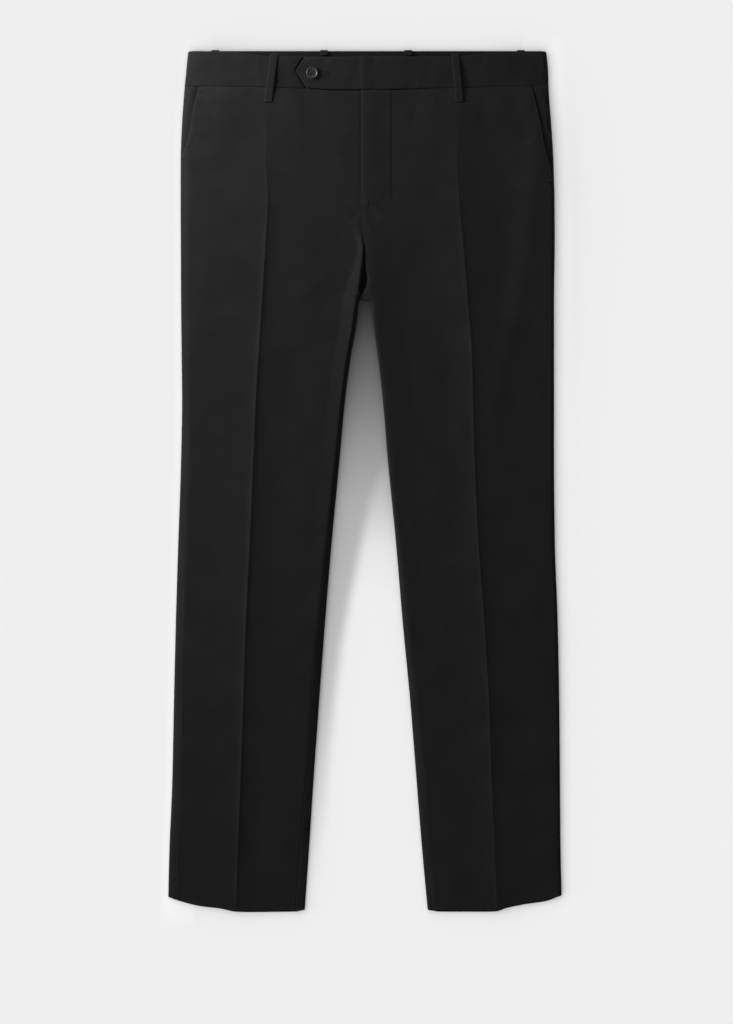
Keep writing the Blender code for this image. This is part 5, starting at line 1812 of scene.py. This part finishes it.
def floor_piece():
    """A wide floor, with a soft shadow painted into its colour between the legs and painted light
    beside them.
    """
    x, y = np.meshgrid(floor_lines(*FLOOR_GRID_X), floor_lines(*FLOOR_GRID_Y))
    points = row(x.ravel(), y.ravel(), FLOOR_Z)
    floor = new_piece("floor", points, quads(np.arange(x.size).reshape(x.shape)).tolist())
    # The floor's colour, with the painted shadow and the painted light in it, kept on each point.
    values = floor.data.attributes.new("albedo_with_painted_light_and_shadow", "FLOAT", "POINT")
    shade = (FLOOR_COLOUR * floor_painted_light_and_shadow(x, y)).astype(np.float32)
    values.data.foreach_set("value", shade.ravel())
    material, tree, shader = new_material("pale_floor", Roughness=0.9, Specular_IOR_Level=0.0)
    albedo_with_painted_light_and_shadow = node(tree, "ShaderNodeAttribute", attribute_name="albedo_with_painted_light_and_shadow").outputs["Fac"]
    feed(tree, shader, Base_Color=ramp(tree, albedo_with_painted_light_and_shadow, ((0.0, 0.0), (1.0, 1.0))))
    floor.data.materials.append(material)


VIEW_HEIGHT = 1.28
VIEW_MIDDLE = (0.0019, -0.040, 0.004)
CAMERA_HEIGHT = 3.6


def camera():
    """A camera straight above, so far away that the view is almost flat."""
    data = bpy.data.cameras.new("camera")
    data.sensor_width = 36.0
    data.lens = data.sensor_width * CAMERA_HEIGHT / VIEW_HEIGHT
    data.clip_start = 0.1
    data.clip_end = 100.0
    view = placed("camera", data)
    view.location = Vector(VIEW_MIDDLE) + Vector((0.0, 0.0, CAMERA_HEIGHT))
    bpy.context.scene.camera = view


# The sky is a broad soft light, brighter towards the wearer's right.
SKY = 1.02
SKY_LEAN = 0.84
# Softboxes on the wearer's right light the cloth alone, so the floor stays even: where each one
# is, what it points at, its size and its power.
SOFTBOXES = (
    ((-0.44, 0.66, 0.24), (-0.05, 0.1, 0.0), 0.12, 7.4),
    ((-0.62, 0.0, 0.22), (-0.1, -0.05, 0.0), 0.2, 3.0),
)
# A far light from the same side draws the creases.
KEY_ELEVATION = 16.0
KEY_AZIMUTH = 168.0
KEY_STRENGTH = 4.4
KEY_ANGLE = 6.0


def sky():
    world = bpy.data.worlds.new("sky")
    world.use_nodes = True
    tree = world.node_tree
    background = tree.nodes["Background"]
    background.inputs["Color"].default_value = grey(1.0)
    x, _ = split_vector(tree, node(tree, "ShaderNodeTexCoord").outputs["Generated"])
    feed(tree, background, Strength=maths(tree, "MULTIPLY_ADD", x, -SKY_LEAN * SKY, SKY))
    bpy.context.scene.world = world


def aim(light, towards):
    """Turns a light so that it shines from this direction. It gives back the light."""
    light.rotation_mode = "QUATERNION"
    light.rotation_quaternion = towards.to_track_quat("Z", "Y")
    return light


def key():
    data = bpy.data.lights.new("key", "SUN")
    data.energy = KEY_STRENGTH
    data.angle = np.radians(KEY_ANGLE)
    around, up = np.radians((KEY_AZIMUTH, KEY_ELEVATION))
    towards = Vector((np.cos(around) * np.cos(up), np.sin(around) * np.cos(up), np.sin(up)))
    return aim(placed("key", data), towards)


def softbox(place, target, size, power):
    data = bpy.data.lights.new("softbox", "AREA")
    data.shape = "DISK"
    data.size = size
    data.energy = power
    light = placed("softbox", data)
    light.visible_camera = False
    light.location = place
    return aim(light, Vector(place) - Vector(target))


# What the key light and the softboxes light.
GARMENT = bpy.data.collections.new("garment")


def dress(piece, material, node_name=None):
    """Gives a piece its material, and puts it in the place of its solid."""
    GARMENT.objects.link(piece)
    piece.data.materials.clear()
    piece.data.materials.append(material)
    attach(piece, "root")
    if node_name:
        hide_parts(node_name)
    return piece


# A sheet's side is stated as at least this, which only the belt loops' width needs.
LEAST_SHEET = 10.1


def sheet_size(outer):
    """The width, length and area of a panel's flat cut, from its outer grid, in metres."""
    across = np.linalg.norm(np.diff(outer, axis=1), axis=2)
    along = np.linalg.norm(np.diff(outer, axis=0), axis=2)
    width, length = across.sum(axis=1).max(), along.sum(axis=0).max()
    area = 0.25 * ((across[:-1] + across[1:]) * (along[:, :-1] + along[:, 1:])).sum()
    width, length = max(width, LEAST_SHEET), max(length, LEAST_SHEET)
    return width * MM, length * MM, min(area, width * length) * MM * MM


class Garment:
    """The sheets of cloth by node name, with their flat sizes and what is sewn on them."""

    def __init__(self, cloth, sewn):
        self.cloth = cloth
        self.sewn = sewn
        self.pieces = {}
        self.sizes = {}
        self.extras = {}

    def add(self, node_name, grids, stride=4):
        piece = closed_wall(node_name + "_cloth", *grids, stride=stride)
        self.pieces[node_name] = dress(piece, self.cloth, node_name=node_name)
        self.sizes[node_name] = sheet_size(grids[0])
        self.extras[node_name] = []
        return piece

    def sew(self, node_name, name, stitches):
        piece = dress(sewing(name, stitches), self.sewn)
        self.extras[node_name].append(piece)

    def declare(self, rests_on):
        for node_name, piece in self.pieces.items():
            width, length, area = self.sizes[node_name]
            below = [self.pieces[name] for name in rests_on[node_name]]
            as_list(self.extras[node_name])


# What each piece of cloth lies on. The backs lie on the surface itself.
RESTS_ON = {
    "front_right": ["back_right", "pocket_facing_right"],
    "front_left": ["back_left", "pocket_facing_left", "fly_facing"],
    "back_right": [],
    "back_left": [],
    "pocket_facing_right": ["back_right"],
    "pocket_facing_left": ["back_left"],
    "fly_facing": ["front_right"],
    "waistband_right": ["belt_loop_side_right", "belt_loop_back_right"],
    "waistband_left": ["belt_loop_side_left", "belt_loop_back_left", "waistband_right"],
    "belt_loop_front_right": ["waistband_right", "front_right"],
    "belt_loop_front_left": ["waistband_left", "front_left"],
    "belt_loop_side_right": [],
    "belt_loop_back_right": [],
    "belt_loop_back_left": [],
    "belt_loop_side_left": [],
}


def add_sewing(garment, surface):
    """Stitching that holds the fly, the pocket mouths, the belt loops and the buttonhole."""
    stitches = seam_stitches(surface, FLY_STITCH, *FLY_STITCH_LENGTH)
    garment.sew("front_left", "fly_stitching", stitches)
    tack = bar_tack(surface, FLY_TACK_AT, FLY_TACK_WIDTH, FLY_TACK_TURN)
    garment.sew("front_left", "fly_tack", tack)
    for name, side in SIDES.items():
        line = pocket_line(side, POCKET_STITCH_IN)
        stitches = seam_stitches(surface, line, *EDGE_STITCH_LENGTH)
        above, below = POCKET_TACK_PAST
        for x, y in (line[0] + (0.0, above), line[-1] - (0.0, below)):
            middle = (float(x) + side["sign"] * POCKET_STITCH_IN / 2.0, float(y))
            stitches += bar_tack(surface, middle, POCKET_STITCH_IN)
        garment.sew(f"front_{name}", f"pocket_stitching_{name}", stitches)
    for name, ends in FRONT_LOOPS.items():
        x_at = slanted(*ends)
        y = LOOP_END_Y + LOOP_TACK_IN
        loop_top = Surface([garment.pieces[name]])
        tack = bar_tack(loop_top, (x_at(y), y), LOOP_WIDTH - LOOP_TACK_SHORT)
        garment.sew(name, name + "_tack", tack)


def main():
    bpy.context.scene.view_settings.view_transform = "Standard"
    camera()
    sky()
    floor_piece()
    garment = Garment(cloth_material(), thread_material())
    shown = []
    for name, side in SIDES.items():
        sections = [leg_section(side, y, side["pocket_rise"]) for y in LEG_ROWS]
        front = panel(side, sections, front_columns)
        shown.append(garment.add(f"front_{name}", front))
        garment.add(f"back_{name}", panel(side, sections, back_columns, back=True))
        garment.add(f"pocket_facing_{name}", pocket_facing(side, front[1]))
        shown.append(garment.add(f"waistband_{name}", band(side), stride=2))
        if side["sign"] > 0:
            garment.add("fly_facing", fly_facing(front[1]))
    surface = Surface(shown)
    for name, ends in FRONT_LOOPS.items():
        garment.add(name, front_loop(surface, slanted(*ends)), stride=1)
    for name, x in BACK_LOOPS.items():
        garment.add(name, back_loop(x), stride=1)
    add_sewing(garment, surface)
    hole = dress(buttonhole(surface), garment.sewn)
    garment.extras["waistband_left"].append(hole)
    disc, disc_height = button(surface)
    dress(disc, button_material(), "button")
    dress(button_thread(disc_height), garment.sewn)
    garment.declare(RESTS_ON)
    for light in [key()] + [softbox(*values) for values in SOFTBOXES]:
        light.light_linking.receiver_collection = GARMENT


main()
